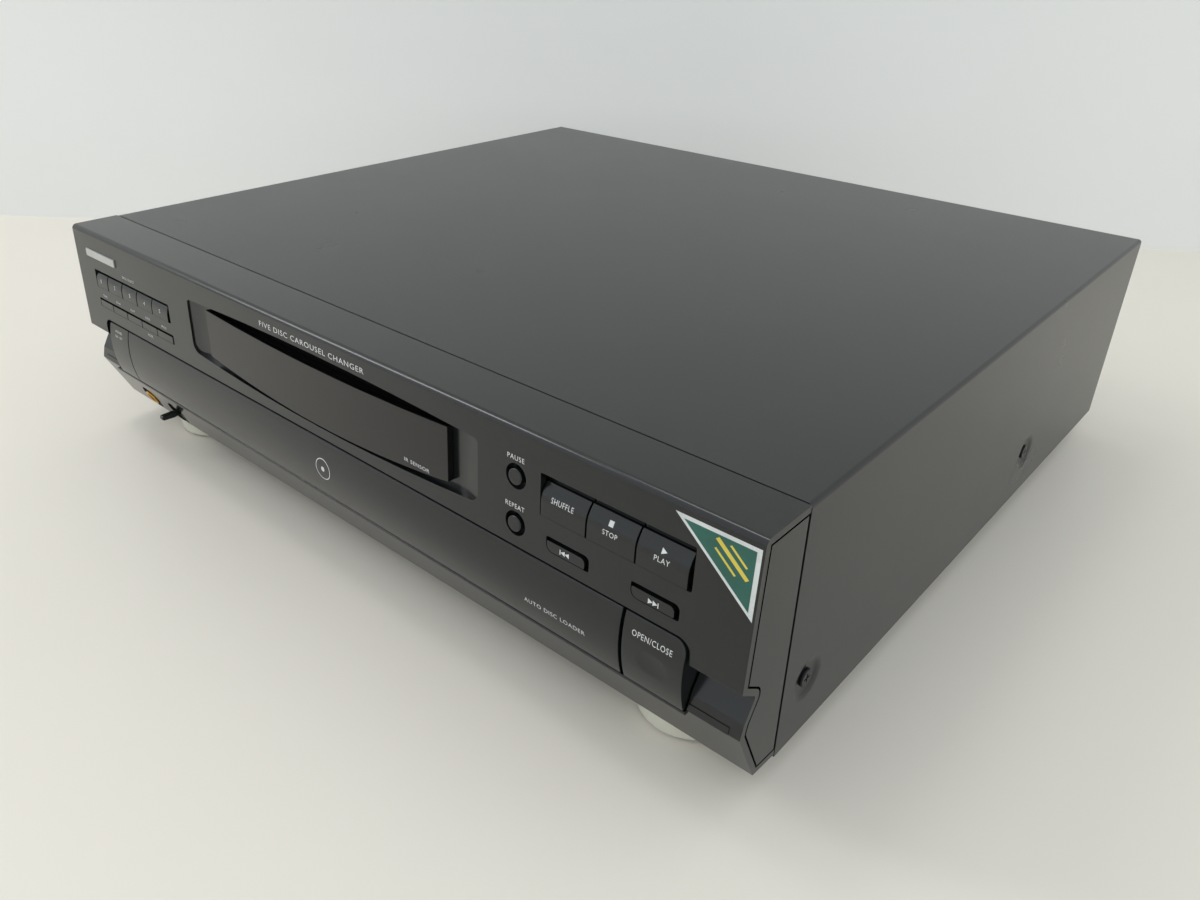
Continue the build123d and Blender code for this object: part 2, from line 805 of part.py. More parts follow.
def make_cover():
    """The folded sheet-steel cover with its pressed screw dimples and rear flange."""
    y0 = fascia_depth + seam
    outer = block(-half_width, half_width, y0, case_depth, 0, case_height)
    folds = outer.edges().filter_by(Axis.Y).group_by(Axis.Z)[-1]
    outer = fillet(folds, cover_fold)
    inner = block(-inner_half, inner_half, y0 - 1, case_depth - sheet, -1,
                  case_height - sheet)
    folds = inner.edges().filter_by(Axis.Y).group_by(Axis.Z)[-1]
    inner = fillet(folds, cover_fold - sheet)
    cover = outer - inner
    cover -= block(-inner_half, inner_half, case_depth - sheet - 1, case_depth + 1, -1,
                   case_height - 12)
    for side in (-1, 1):
        for y, z in side_screws():
            turn = Pos(side * half_width, y, z) * Rot(0, 90 * side, 0)
            boss = turn * Pos(0, 0, -sheet - dimple_depth / 2) * Cone(
                dimple_floor_radius + 1, dimple_radius + 1, dimple_depth)
            dish = turn * Pos(0, 0, -dimple_depth / 2) * Cone(
                dimple_floor_radius, dimple_radius, dimple_depth)
            hole = turn * Cylinder(screw_hole + 0.3, 12)
            cover = cover + boss - dish - hole
    for x in rear_screw_places():
        cover -= rod_y(x, case_height - 7, case_depth - 5, case_depth + 5, screw_hole + 0.3)
    return cover


def cross_screw(length):
    """A cross-recess screw along Z with its head on top, the seat at zero."""
    screw = Pos(0, 0, screw_head_height / 2) * Cylinder(screw_head, screw_head_height)
    screw = fillet(screw.edges().sort_by(Axis.Z)[-1], 0.6)
    screw += Pos(0, 0, -length / 2) * Cylinder(screw_hole, length)
    for turn in (0, 90):
        screw -= Pos(0, 0, screw_head_height) * Rot(0, 0, turn) * Box(
            screw_head * 1.1, 0.7, screw_head_height)
    return screw


def make_screws():
    """The case screws: cover sides and rear, clamp bridge, and feet from below."""
    screws = []
    for side in (-1, 1):
        for y, z in side_screws():
            x = side * (half_width - dimple_depth)
            screws.append(Pos(x, y, z) * Rot(0, 90 * side, 0) * cross_screw(6))
        for y in bridge_screw_places():
            x = side * bridge_screw_x
            screws.append(Pos(x, y, rail_top + 2 * sheet) * cross_screw(8))
    for x in rear_screw_places():
        screws.append(Pos(x, case_depth, case_height - 7) * Rot(-90, 0, 0) * cross_screw(6))
    for x, y in foot_places():
        place = Pos(x, y, pan_bottom_z - foot_screw_seat) * Rot(180, 0, 0)
        screws.append(place * cross_screw(foot_screw_seat + sheet))
    return Compound(children=screws)


def make_pan():
    """The chassis pan: floor, turned-up sides that carry the cover, and small bosses."""
    flange_x = half_width - sheet - dimple_depth
    pan = block(-flange_x, flange_x, fascia_depth - 6, rear_panel_y, pan_bottom_z, pan_top_z)
    for side in (-1, 1):
        x0, x1 = sorted((side * flange_x, side * (flange_x - sheet)))
        pan += block(x0, x1, fascia_depth + 2, rear_panel_y, pan_bottom_z, pan_side_height)
        for y, z in side_screws():
            pan -= rod_x(y, z, x0 - 2, x1 + 2, screw_hole + 0.1)
        tab = half_width - pan_tab_inset
        x0, x1 = sorted((side * tab, side * (tab - pan_tab_width)))
        pan += block(x0, x1, fascia_depth - 5, fascia_depth + 1.5, -1.5, pan_bottom_z)
    for x, y in main_board_posts():
        pan += post(x, y, pan_top_z, main_board_z, 3)
    for x, y in foot_places():
        pan -= post(x, y, pan_bottom_z - 1, pan_top_z + 1, screw_hole + 0.1)
    return pan


def foot_places():
    """The centres of the four feet."""
    rear = case_depth - foot_rear_inset
    return [(side * foot_x, y) for y in (foot_front_y, rear) for side in (-1, 1)]


def make_feet():
    """Four hollow round feet, each with a middle boss for its screw."""
    feet = []
    for x, y in foot_places():
        height = foot_height + pan_bottom_z - pad_height / 2
        foot = Cone(foot_radius - foot_draft, foot_radius, height)
        foot -= Pos(0, 0, foot_wall) * Cone(foot_radius - foot_draft - foot_wall,
                                            foot_radius - foot_wall, height)
        foot += Cylinder(foot_boss, height)
        foot -= Cylinder(screw_hole + 0.1, height + 1)
        foot -= Pos(0, 0, -foot_screw_seat) * Cylinder(screw_head + key_fit, height)
        foot -= Pos(0, 0, -height / 2) * (
            Cylinder(pad_radius, pad_height) - Cylinder(pad_radius - pad_width, pad_height))
        feet.append(Pos(x, y, pan_bottom_z - height / 2) * foot)
    return Compound(children=feet)


def make_foot_pads():
    """Four rubber rings let into the undersides of the feet."""
    ring = Cylinder(pad_radius, pad_height) - Cylinder(pad_radius - pad_width, pad_height)
    pads = [Pos(x, y, -foot_height + pad_height / 2) * ring for x, y in foot_places()]
    return Compound(children=pads)


def make_rear_panel():
    """The rear panel of sheet steel, with holes for the sockets and the mains inlet."""
    side = half_width - sheet - dimple_depth - sheet
    plate = block(-side, side, rear_panel_y, rear_panel_y + sheet, pan_top_z,
                  case_height - sheet - 0.1)
    for x in socket_places():
        plate -= rod_y(x, socket_z, rear_panel_y - 2, rear_panel_y + 3, socket_collar + 0.3)
    plate -= Pos(inlet_x, rear_panel_y, inlet_z) * Box(
        inlet_width + 4.4, 6, inlet_height + 4.4)
    for x in rear_screw_places():
        plate -= rod_y(x, case_height - 7, rear_panel_y - 2, rear_panel_y + 3,
                       screw_hole + 0.1)
    for row in range(3):
        for column in range(14):
            slot = Pos(-45 + 7 * column, rear_panel_y, 60 + 9 * row) * Box(3, 6, 6)
            plate -= slot
    return plate


def socket_places():
    """The line-out sockets, as X."""
    return [socket_x - socket_spacing / 2, socket_x + socket_spacing / 2]


def make_sockets():
    """The twin line-out socket: a block inside the rear panel and two barrels on collars."""
    inner_y = rear_panel_y - 10
    body = block(socket_x - 15, socket_x + 15, inner_y, rear_panel_y,
                 main_board_z + board_thickness, socket_z + 9)
    for x in socket_places():
        body += rod_y(x, socket_z, rear_panel_y - 1,
                      rear_panel_y + sheet + socket_collar_proud, socket_collar)
        body += rod_y(x, socket_z, rear_panel_y - 1, rear_panel_y + sheet + socket_reach,
                      socket_radius)
        body -= rod_y(x, socket_z, rear_panel_y - 6, rear_panel_y + sheet + socket_reach + 1,
                      socket_bore)
    return body


def make_inlet():
    """The two-pin mains inlet, a recessed socket held in the rear panel."""
    wall = 2.0
    x0, x1 = inlet_x - inlet_width / 2 - wall, inlet_x + inlet_width / 2 + wall
    z0, z1 = inlet_z - inlet_height / 2 - wall, inlet_z + inlet_height / 2 + wall
    outer_y = rear_panel_y + sheet
    body = block(x0, x1, outer_y - inlet_depth - wall, outer_y + 1.5, z0, z1)
    body += block(x0 - 3, x1 + 3, outer_y, outer_y + 1.5, z0 - 2, z1 + 2)
    body -= block(x0 + wall, x1 - wall, outer_y + 1.5 - inlet_depth, outer_y + 3,
                  z0 + wall, z1 - wall)
    for side in (-1, 1):
        x = inlet_x + side * inlet_pin_spacing / 2
        body += rod_y(x, inlet_z, outer_y + 1.5 - inlet_depth - 0.5, outer_y - 2,
                      inlet_pin_radius)
    return body


# Boards and mains parts


def key_switch_places():
    """The centres of the front-board switches, as X and Z."""
    places = []
    for x0, x1 in trio_limits():
        places.append(((x0 + x1) / 2, (trio_low + trio_high - trio_top_gap) / 2))
    for x0, x1 in row_limits(disc_left, disc_first_gap, disc_pitch, disc_right, disc_side_gap):
        places.append(((x0 + x1) / 2, (disc_low + disc_high - disc_top_gap) / 2))
    for x0, x1 in row_limits(mode_left, mode_first_gap, mode_pitch, mode_right, mode_side_gap):
        places.append(((x0 + x1) / 2, (mode_low + mode_high - mode_top_gap) / 2))
    for x in (skip_left_x, skip_right_x):
        places.append((x + (skip_width - skip_side_gap) / 2,
                       (skip_low + skip_high - skip_top_gap) / 2))
    for z in (pause_z, repeat_z):
        places.append((round_x, z))
    places.append((large_key_stem_x(), (band_bottom + band_top) / 2))
    return places


def make_front_board():
    """The front board with its key switches and two legs beside the drawer opening."""
    y1 = front_board_y + board_thickness
    reach = half_width - 6
    board = block(-reach, reach, front_board_y, y1, band_top + 3, case_height - 4)
    for side in (-1, 1):
        x0, x1 = sorted((side * (rail_outer + 0.5), side * reach))
        board += block(x0, x1, front_board_y, y1, band_bottom + 2, band_top + 4)
    board -= rod_y(-large_key_stem_x(), (band_bottom + band_top) / 2, front_board_y - 2,
                   y1 + 2, stem_radius + 2)
    for x, z in key_switch_places():
        board += Pos(x, front_board_y - switch_height / 2, z) * Box(
            switch_size, switch_height, switch_size)
    return board


def make_display():
    """The glass display tube between the window and the front board."""
    near = lens_trench + 2.2
    return block(-display_half - 4, display_half + 4, near, front_board_y - 0.05,
                 display_low - 3, display_high + 3)


def main_board_posts():
    """The posts under the main board, as X and Y."""
    left, right = main_board_sides()
    rear = rear_panel_y - main_board_rear_post
    return [(x, y) for x in (left + main_board_post_inset, right - main_board_post_inset)
            for y in (main_board_front + 10, rear)]


def main_board_sides():
    """The left and right edges of the main board."""
    left = main_board_inset - half_width
    return left, left + main_board_width


def make_main_board():
    """The long main board in the left of the case, with its larger components."""
    top = main_board_z + board_thickness
    left, right = main_board_sides()
    board = block(left, right, main_board_front, rear_panel_y - 0.5, main_board_z, top)
    for y in (150, 210, 270):
        x = left + 10
        board += block(x, x + chip_width, y, y + chip_length, top, top + chip_height)
    for x, y, height in ((7, 320, 26), (22, 320, 26), (8, 132, 16), (28, 135, 12)):
        board += post(left + x, y, top, top + height, 6)
    return board


def make_transformer():
    """The mains transformer: a laminated core round a moulded bobbin."""
    x1 = half_width - transformer_inset
    x0 = x1 - transformer_width
    y0, y1 = transformer_front, transformer_front + transformer_length
    z0 = pan_top_z + transformer_foot
    z1 = z0 + transformer_height
    limb = core_limb
    core = block(x0, x1, y0, y1, z0, z1)
    core -= block(x0 - 1, x1 + 1, y0 + limb, y1 - limb, z0 + limb, z1 - limb)
    coil = block(x0 - 2, x1 + 2, y0 + limb, y1 - limb, z0 + limb, z1 - limb)
    coil = fillet(coil.edges().filter_by(Axis.Z), 3)
    feet = block(x0, x1, y0 - 8, y0 + 6, pan_top_z, z0)
    feet += block(x0, x1, y1 - 6, y1 + 8, pan_top_z, z0)
    return core + coil + feet


# Loader frame, drawer and carousel


def make_loader_frame():
    """The moulded frame on the pan: rails for the drawer and carriers for the mechanism."""
    y0, y1 = fascia_depth + 3, rear_panel_y - frame_rear_gap
    frame = block(-rail_outer, rail_outer, y0, y1, pan_top_z, floor_plate_top)
    for side in (-1, 1):
        x0, x1 = sorted((side * rail_inner, side * rail_outer))
        frame += block(x0, x1, y0, y1, pan_top_z, rail_top)
        x0, x1 = sorted((side * (rail_inner - 10), side * rail_inner))
        frame += block(x0, x1, y0, y1, tray_floor_z - guide_gap - 2.5,
                       tray_floor_z - guide_gap)
        x0, x1 = sorted((side * (tray_half - tray_wall + 0.2), side * rail_inner))
        frame += block(x0, x1, y0, y0 + 90, tray_wall_top + guide_gap,
                       tray_wall_top + guide_gap + 2)
        x0, x1 = sorted((side * frame_window_inner, side * (rail_outer - frame_window_inset)))
        frame -= block(x0, x1, 120, 320, pan_top_z - 1, floor_plate_top + 1)
        for y in bridge_screw_places():
            frame += post(side * bridge_screw_x, y, rail_top - 12, rail_top, 4)
            frame -= post(side * bridge_screw_x, y, rail_top - 9, rail_top + 1, screw_hole + 0.05)
        ear_in = deck_half + 2.5
        x0, x1 = sorted((side * ear_in, side * (ear_in + 4)))
        ear = block(x0, x1, pivot_y - 8, pivot_y + 8, floor_plate_top - 0.5, pivot_z + 6)
        ear = fillet(ear.edges().filter_by(Axis.X).group_by(Axis.Z)[-1], 5)
        frame += ear
    frame -= rod_x(pivot_y, pivot_z, -deck_half - 8, deck_half + 8,
                   deck_pin_radius + running_fit)
    cam_y = cam_plate_y()
    frame += block(-80, 90, cam_y - 2.8, cam_y - 0.3, floor_plate_top - 0.5,
                   floor_plate_top + 8)
    frame += block(-80, 90, cam_y + cam_thickness + 0.3, cam_y + cam_thickness + 2.3,
                   floor_plate_top - 0.5, floor_plate_top + 2.3)
    x = drive_x()
    frame += post(x, drive_y, floor_plate_top - 0.5, drive_wheel_z() - 0.3, 6)
    frame += post(x, drive_y, floor_plate_top, tray_floor_z - 0.4, 3)
    return frame


def cam_plate_y():
    """The front face of the lift cam."""
    return deck_front_y - cam_thickness - 3


def drive_x():
    """The centre of the drawer's drive gear."""
    return rack_pitch_x + drive_pitch_radius + backlash / 2


def drive_wheel_z():
    """The lower face of the drive gear's belt wheel."""
    return tray_floor_z - rack_height - 7.7


def make_tray():
    """The drawer's tray: floor open at the rear, side walls, axle for the carousel, rack."""
    y1 = tray_front_y + tray_length
    tray = block(-tray_half, tray_half, tray_front_y, y1, tray_floor_z, tray_top_z)
    for side in (-1, 1):
        x0, x1 = sorted((side * tray_half, side * (tray_half - tray_wall)))
        tray += block(x0, x1, tray_front_y, y1, tray_floor_z, tray_wall_top)
    tray += block(-tray_half, tray_half, tray_front_y, tray_front_y + 2.6, tray_floor_z,
                  tray_wall_top)
    slot = block(-tray_slot_half, tray_slot_half, tray_slot_front, y1 + 1,
                 tray_floor_z - 1, tray_top_z + 1)
    tray -= fillet(slot.edges().filter_by(Axis.Z).group_by(Axis.Y)[0], 8)
    tray += post(0, carousel_y, tray_top_z - 0.5, hub_bottom_z() - 0.2, hub_radius + 2)
    tray += post(0, carousel_y, tray_top_z, carousel_top, axle_radius)
    tray -= post(0, carousel_y, carousel_top - 10, carousel_top + 1, screw_hole)
    px, py = pinion_place()
    tray -= post(px, py, tray_floor_z - 1, tray_top_z + 1, 3.5)
    reach = drawer_travel + 12
    tray += rack(rack_pitch_x, rack_width - 3, gear_module, drive_y, drive_y - 12,
                 drive_y + reach, tray_floor_z - rack_height, tray_floor_z + 0.5, 1, 0.1)
    return tray


def hub_bottom_z():
    """The lower face of the carousel's hub."""
    return carousel_under_z - hub_drop


def pinion_place():
    """The centre of the carousel's drive pinion, in a rear corner of the tray."""
    reach = carousel_pitch_radius + pinion_pitch_radius + backlash
    angle = radians(pinion_angle)
    return reach * cos(angle), carousel_y + reach * sin(angle)


def make_drawer_front():
    """The crowned front of the drawer."""
    front_bar = along_x(band_face(tray_front_y), -drawer_half, drawer_half)
    return front_bar


def well_places():
    """The centres of the wells, the first at the rear in the playing place."""
    places = []
    for well in range(wells):
        angle = radians(90 + well * 360 / wells)
        places.append((well_circle * cos(angle), carousel_y + well_circle * sin(angle)))
    return places


def make_carousel():
    """The carousel: a toothed disc with wells, each open under its disc for the pickup."""
    disc = toothed(carousel_teeth, gear_module, well_floor_z - carousel_under_z, 0,
                   carousel_y, carousel_under_z)
    disc += post(0, carousel_y, well_floor_z, carousel_top, carousel_pitch_radius + gear_module)
    disc += post(0, carousel_y, hub_bottom_z(), carousel_under_z + 1, hub_radius)
    for well, (x, y) in enumerate(well_places()):
        turn = 90 + well * 360 / wells
        disc -= post(x, y, well_floor_z, carousel_top + 1, well_radius)
        disc -= post(x, y, carousel_under_z - 1, carousel_top, well_hole)
        place = Pos(x, y, (carousel_under_z + carousel_top) / 2) * Rot(0, 0, turn)
        disc -= place * Pos(-pickup_slot_reach / 2, 0, 0) * Box(
            pickup_slot_reach, pickup_slot_width, carousel_thickness + 2)
        web = radians(turn + 180 / wells)
        reach = well_circle * 1.36
        disc -= post(reach * cos(web), carousel_y + reach * sin(web), carousel_under_z - 1,
                     well_floor_z + 2, 14)
    disc -= post(0, carousel_y, carousel_top - 0.2, carousel_top + 1, bolt_head_radius + 2)
    disc -= post(0, carousel_y, hub_bottom_z() - 1, carousel_top + 1,
                 axle_radius + running_fit)
    return disc


def make_carousel_bolt():
    """The bolt and washer head that hold the carousel on its axle."""
    head = post(0, carousel_y, carousel_top, carousel_top + bolt_head_height,
                bolt_head_radius)
    head = fillet(head.edges().sort_by(Axis.Z)[-1], 1)
    head += post(0, carousel_y, carousel_top - 8, carousel_top, screw_hole - 0.05)
    for turn in (0, 90):
        head -= Pos(0, carousel_y, carousel_top + bolt_head_height) * Rot(0, 0, turn) * Box(
            7, 1.2, 2)
    return head


def make_carousel_pinion():
    """The pinion that turns the carousel, on its motor's shaft."""
    px, py = pinion_place()
    share = pinion_angle / 360 * carousel_teeth
    offset_share = round(share - 0.5) + 0.5 - share
    turn = pinion_angle + 180 - offset_share * 360 / pinion_teeth
    gear = toothed(pinion_teeth, gear_module, 2.8, px, py, carousel_under_z - 1, turn, 0.1)
    return gear + post(px, py, tray_floor_z - 6, carousel_under_z - 0.5, 2)


def make_carousel_motor():
    """The carousel's motor, hung under a rear corner of the tray."""
    px, py = pinion_place()
    motor = post(px, py, tray_floor_z - 20, tray_floor_z, motor_radius)
    motor -= post(px, py, tray_floor_z - 6.5, tray_floor_z + 1, 2 + running_fit)
    motor += post(px, py, tray_floor_z - 22, tray_floor_z - 20, 4)
    return motor


def make_drive_gear():
    """The drawer's drive gear, with its belt wheel below."""
    x = drive_x()
    z0 = drive_wheel_z()
    gear = toothed(drive_teeth, gear_module, rack_height - 0.6, x, drive_y,
                   tray_floor_z - rack_height, 180, 0.1)
    gear += post(x, drive_y, z0, z0 + 6, pulley_radius + pulley_flange)
    groove = post(x, drive_y, z0 + 1.5, z0 + 4.5, pulley_radius + pulley_flange + 1)
    groove -= post(x, drive_y, z0 + 1, z0 + 5, pulley_radius)
    gear -= groove
    gear += post(x, drive_y, z0 + 5.5, tray_floor_z - rack_height + 0.5, 8)
    return gear - post(x, drive_y, z0 - 1, tray_floor_z, 3 + running_fit)


def make_motor_pulley():
    """The small pulley on the drawer motor's shaft."""
    x = drive_x() + belt_span
    z0 = drive_wheel_z()
    pulley = post(x, drive_y, z0, z0 + 6, motor_pulley_radius + pulley_flange)
    groove = post(x, drive_y, z0 + 1.5, z0 + 4.5, motor_pulley_radius + pulley_flange + 1)
    groove -= post(x, drive_y, z0 + 1, z0 + 5, motor_pulley_radius)
    return pulley - groove + post(x, drive_y, z0 - 6, z0, 1.5)


def make_drawer_motor():
    """The drawer's motor, standing on the loader frame."""
    x = drive_x() + belt_span
    top = drive_wheel_z() - 0.3
    motor = post(x, drive_y, floor_plate_top, top, motor_radius)
    return motor - post(x, drive_y, top - 6, top + 1, 1.5 + running_fit)


def make_drive_belt():
    """The rubber belt from the motor pulley to the drive gear."""
    x = drive_x()
    gap = key_fit

    def loop(extra):
        big = Pos(x, drive_y) * Circle(pulley_radius + gap + extra)
        small = Pos(x + belt_span, drive_y) * Circle(motor_pulley_radius + gap + extra)
        return make_hull(big.edges() + small.edges())

    z0 = drive_wheel_z() + 2
    ring = loop(belt_thickness) - loop(0)
    return Pos(0, 0, z0) * extrude(ring, 2)


# Player deck, drawn level and then lowered


def lowered(shape):
    """A deck piece at rest, with the deck's front let down about its rear pivot."""
    to_pivot = Location((0, pivot_y, pivot_z))
    return to_pivot * Rot(deck_tilt, 0, 0) * to_pivot.inverse() * shape


def sled_lens_y():
    """Where the pickup's lens starts, close to the spindle."""
    return spindle_y - sled_start


def sled_gear_place():
    """The centre of the sled's drive gear."""
    pitch = sled_gear_teeth * sled_gear_module / 2
    return -32.0 - pitch - 0.1, sled_lens_y() - sled_travel / 2


def make_deck_frame():
    """The deck: a plate with folded walls, pivot pins, cam pins and a motor bracket."""
    bottom = deck_top_z - deck_plate
    deck = block(-deck_half, deck_half, deck_front_y, pivot_y + 5, bottom, deck_top_z)
    for side in (-1, 1):
        x0, x1 = sorted((side * deck_half, side * (deck_half - 3)))
        deck += block(x0, x1, deck_front_y, pivot_y + 5, 32.5, deck_top_z)
        x0, x1 = sorted((side * (deck_half - 3), side * (deck_half + 6)))
        deck += rod_x(pivot_y, pivot_z, x0, x1, deck_pin_radius)
        x0, x1 = sorted((side * (deck_half - 3), side * deck_half))
        deck += rod_x(pivot_y, pivot_z, x0, x1, deck_pin_radius + 2)
        x0, x1 = sorted((side * 24, side * 30))
        deck += block(x0, x1, sled_rail_rear(), sled_rail_rear() + 3, 32, bottom + 0.5)
        deck += rod_y(side * cam_pin_x, cam_pin_z, deck_front_y - 7, deck_front_y + 1,
                      cam_pin_radius)
    deck += block(-deck_half, deck_half, deck_front_y, deck_front_y + 3,
                  cam_pin_z - 3, deck_top_z)
    deck -= block(-32, 32, deck_front_y + 3, sled_rail_rear(), bottom - 1, deck_top_z + 1)
    gx, gy = sled_gear_place()
    deck += block(-deck_half - 1.5, -deck_half + 0.8, gy - 8, gy + 8, 27, deck_top_z)
    deck += block(-deck_half - 1.5, -34.2, gy - 8, gy + 8, 27, 28.5)
    deck -= post(gx, gy, 26, 29, 1.6)
    deck -= post(0, spindle_y, bottom - 1, deck_top_z + 1, 6)
    return lowered(deck)


def sled_rail_rear():
    """The rear end of the sled's guide rods."""
    return spindle_y - platter_radius - 1.3


def make_guide_rods():
    """The two steel rods that the sled runs on."""
    rods = [rod_y(side * 27, 35, deck_front_y + 3, sled_rail_rear(), 1.5)
            for side in (-1, 1)]
    return Compound(children=[lowered(rod) for rod in rods])


def make_sled():
    """The laser pickup sled with its lens turret, bearings and rack."""
    y = sled_lens_y()
    sled = block(-22, 22, y - sled_front, y + sled_rear, 33, 45)
    for side in (-1, 1):
        x0, x1 = sorted((side * 21.5, side * 30.5))
        sled += block(x0, x1, y - sled_front, y + sled_rear, 32, 38)
    sled += post(0, y, 44.5, deck_seat_z - lens_gap, 5)
    sled -= post(0, y, deck_seat_z - lens_gap - 1, deck_seat_z, 3.2)
    sled += Pos(0, y, deck_seat_z - lens_gap - 1.2) * Cylinder(3.2, 1)
    gx, gy = sled_gear_place()
    sled += rack(-32, 2, sled_gear_module, gy, gy - 3, gy + sled_travel + 3, 29, 31.7, -1, 0.05)
    sled += block(-30.6, -22, y - sled_front, y + sled_rear, 30.8, 33.5)
    for side in (-1, 1):
        sled -= rod_y(side * 27, 35, y - 30, y + 20, 1.5 + running_fit)
    return lowered(sled)


def make_sled_gear():
    """The gear that drives the sled's rack, on its motor's shaft."""
    gx, gy = sled_gear_place()
    gear = toothed(sled_gear_teeth, sled_gear_module, 2.5, gx, gy, 29.1, 0, 0.05)
    return lowered(gear + post(gx, gy, 22, 29.3, 1.2))


def make_sled_motor():
    """The flat motor that turns the sled's gear, under its bracket."""
    gx, gy = sled_gear_place()
    motor = post(gx, gy, 20.5, 27, 8)
    return lowered(motor - post(gx, gy, 21.5, 28, 1.2 + running_fit))


def make_spindle_motor():
    """The motor that turns the disc, hung under the deck's plate."""
    bottom = deck_top_z - deck_plate
    motor = post(0, spindle_y, bottom - 11, bottom, 13)
    motor += post(0, spindle_y, bottom - 1, deck_top_z + 1, 5.5)
    return lowered(motor - post(0, spindle_y, bottom - 9, deck_top_z + 2,
                                1.5 + running_fit))


def make_platter():
    """The small platter that carries the disc: seat, centring cone and shaft."""
    platter = post(0, spindle_y, deck_seat_z - 2.5, deck_seat_z, platter_radius)
    platter += post(0, spindle_y, deck_top_z + 2, deck_seat_z - 2, 6)
    platter += Pos(0, spindle_y, deck_seat_z + cone_height / 2) * Cone(
        cone_radius, cone_radius - 2, cone_height)
    platter += post(0, spindle_y, deck_top_z - deck_plate - 8, deck_top_z + 2.5, 1.5)
    return lowered(platter)


def pin_height(share):
    """The height of a cam pin's middle, with the deck raised by a share of its tilt."""
    angle = radians(deck_tilt * (1 - share))
    arm_y = cam_plate_y() + cam_thickness / 2 + 1 - pivot_y
    return pivot_z + arm_y * sin(angle) + (cam_pin_z - pivot_z) * cos(angle)


def make_lift_cam():
    """The sliding cam whose two sloping slots lift the front of the deck."""
    y0 = cam_plate_y()
    cam = block(-cam_pin_x - cam_travel - 9, cam_pin_x + 15, y0, y0 + cam_thickness,
                floor_plate_top + 0.3, tray_floor_z - 0.4)
    low, high = pin_height(0), pin_height(1)
    for x in (-cam_pin_x, cam_pin_x):
        middle = (x - cam_travel / 2, (low + high) / 2)
        slope = degrees(atan2(high - low, -cam_travel))
        length = hypot(cam_travel, high - low)
        slot = SlotCenterToCenter(length, 2 * (cam_pin_radius + 0.6))
        face = Pos(middle[0], middle[1]) * Rot(0, 0, slope) * slot
        cam -= through_y(face, y0 - 1, y0 + cam_thickness + 1)
    return cam


def bridge_screw_places():
    """The places of the clamp bridge's screws, as Y."""
    return [spindle_y - bridge_screw_spacing / 2, spindle_y + bridge_screw_spacing / 2]


def make_clamp_bridge():
    """The steel bridge over the carousel that carries the clamp."""
    z0, z1 = rail_top, rail_top + 2 * sheet
    reach = bridge_screw_x + 4
    bridge = block(-reach, reach, spindle_y - bridge_half_width,
                   spindle_y + bridge_half_width, z0, z1)
    bridge += post(0, spindle_y, z0, z1, bridge_ring)
    bridge -= post(0, spindle_y, z0 - 1, z1 + 1, puck_radius + 1)
    for side in (-1, 1):
        for y in bridge_screw_places():
            x = side * bridge_screw_x
            bridge -= post(x, y, z0 - 1, z1 + 1, screw_hole + 0.1)
    return bridge


def make_clamp_puck():
    """The clamp that turns with the disc, hanging loose in the bridge by its flange."""
    top = rail_top + 2 * sheet
    puck = post(0, spindle_y, carousel_top + puck_gap, top + 0.5, puck_radius)
    puck += post(0, spindle_y, top + 0.2, top + 2.2, puck_flange)
    puck += post(0, spindle_y, top + 2, top + 4, 8)
    seat = carousel_top + puck_gap
    return puck - post(0, spindle_y, seat - 1, seat + cone_height + 1.4, cone_radius + 0.8)


def trio_limits():
    """The left and right limits of the three transport keys."""
    width = (trio_width - trio_side_gap - key_fit - 2 * key_gap) / 3
    limits = []
    for key in range(3):
        x0 = trio_left + key_fit + key * (width + key_gap)
        limits.append((x0, x0 + width))
    return limits


pieces = {
    "fascia": make_fascia(),
    "end_cap_left": make_end_cap(-1),
    "end_cap_right": make_end_cap(1),
    "display_lens": make_lens(),
    "top_cover": make_cover(),
    "case_screws": make_screws(),
    "chassis_pan": make_pan(),
    "rear_panel": make_rear_panel(),
    "feet": make_feet(),
    "foot_pads": make_foot_pads(),
    "line_sockets": make_sockets(),
    "mains_inlet": make_inlet(),
    "power_switch": make_power_switch(),
    "headphone_jack": make_jack(),
    "level_pot": make_level_pot(),
    "level_slider": make_level_slider(),
    "front_board": make_front_board(),
    "display_tube": make_display(),
    "main_board": make_main_board(),
    "transformer": make_transformer(),
    "power_button": large_key(-1, power_travel, drawer_half + power_key_gap,
                              drawer_half + power_key_gap + power_key_width,
                              power_key_corner),
    "open_close_button": large_key(1, open_travel, large_key_inner, band_half - band_gap,
                                   band_corner - band_gap),
    "pause_button": round_key(pause_z),
    "repeat_button": round_key(repeat_z),
    "loader_frame": make_loader_frame(),
    "tray": make_tray(),
    "drawer_front": make_drawer_front(),
    "carousel": make_carousel(),
    "carousel_bolt": make_carousel_bolt(),
    "carousel_pinion": make_carousel_pinion(),
    "carousel_motor": make_carousel_motor(),
    "drive_gear": make_drive_gear(),
    "drive_belt": make_drive_belt(),
    "motor_pulley": make_motor_pulley(),
    "drawer_motor": make_drawer_motor(),
    "deck_frame": make_deck_frame(),
    "guide_rods": make_guide_rods(),
    "pickup_sled": make_sled(),
    "sled_gear": make_sled_gear(),
    "sled_motor": make_sled_motor(),
    "spindle_motor": make_spindle_motor(),
    "disc_platter": make_platter(),
    "lift_cam": make_lift_cam(),
    "clamp_bridge": make_clamp_bridge(),
    "clamp_puck": make_clamp_puck(),
}

for name, (x0, x1) in zip(("shuffle_button", "stop_button", "play_button"), trio_limits()):
    pieces[name] = rocker_key(x0, x1, trio_low + key_foot_gap, trio_high - trio_top_gap,
                              trio_sink, trio_top_gap)

for name, x in (("previous_button", skip_left_x), ("next_button", skip_right_x)):
    pieces[name] = skip_key(x)

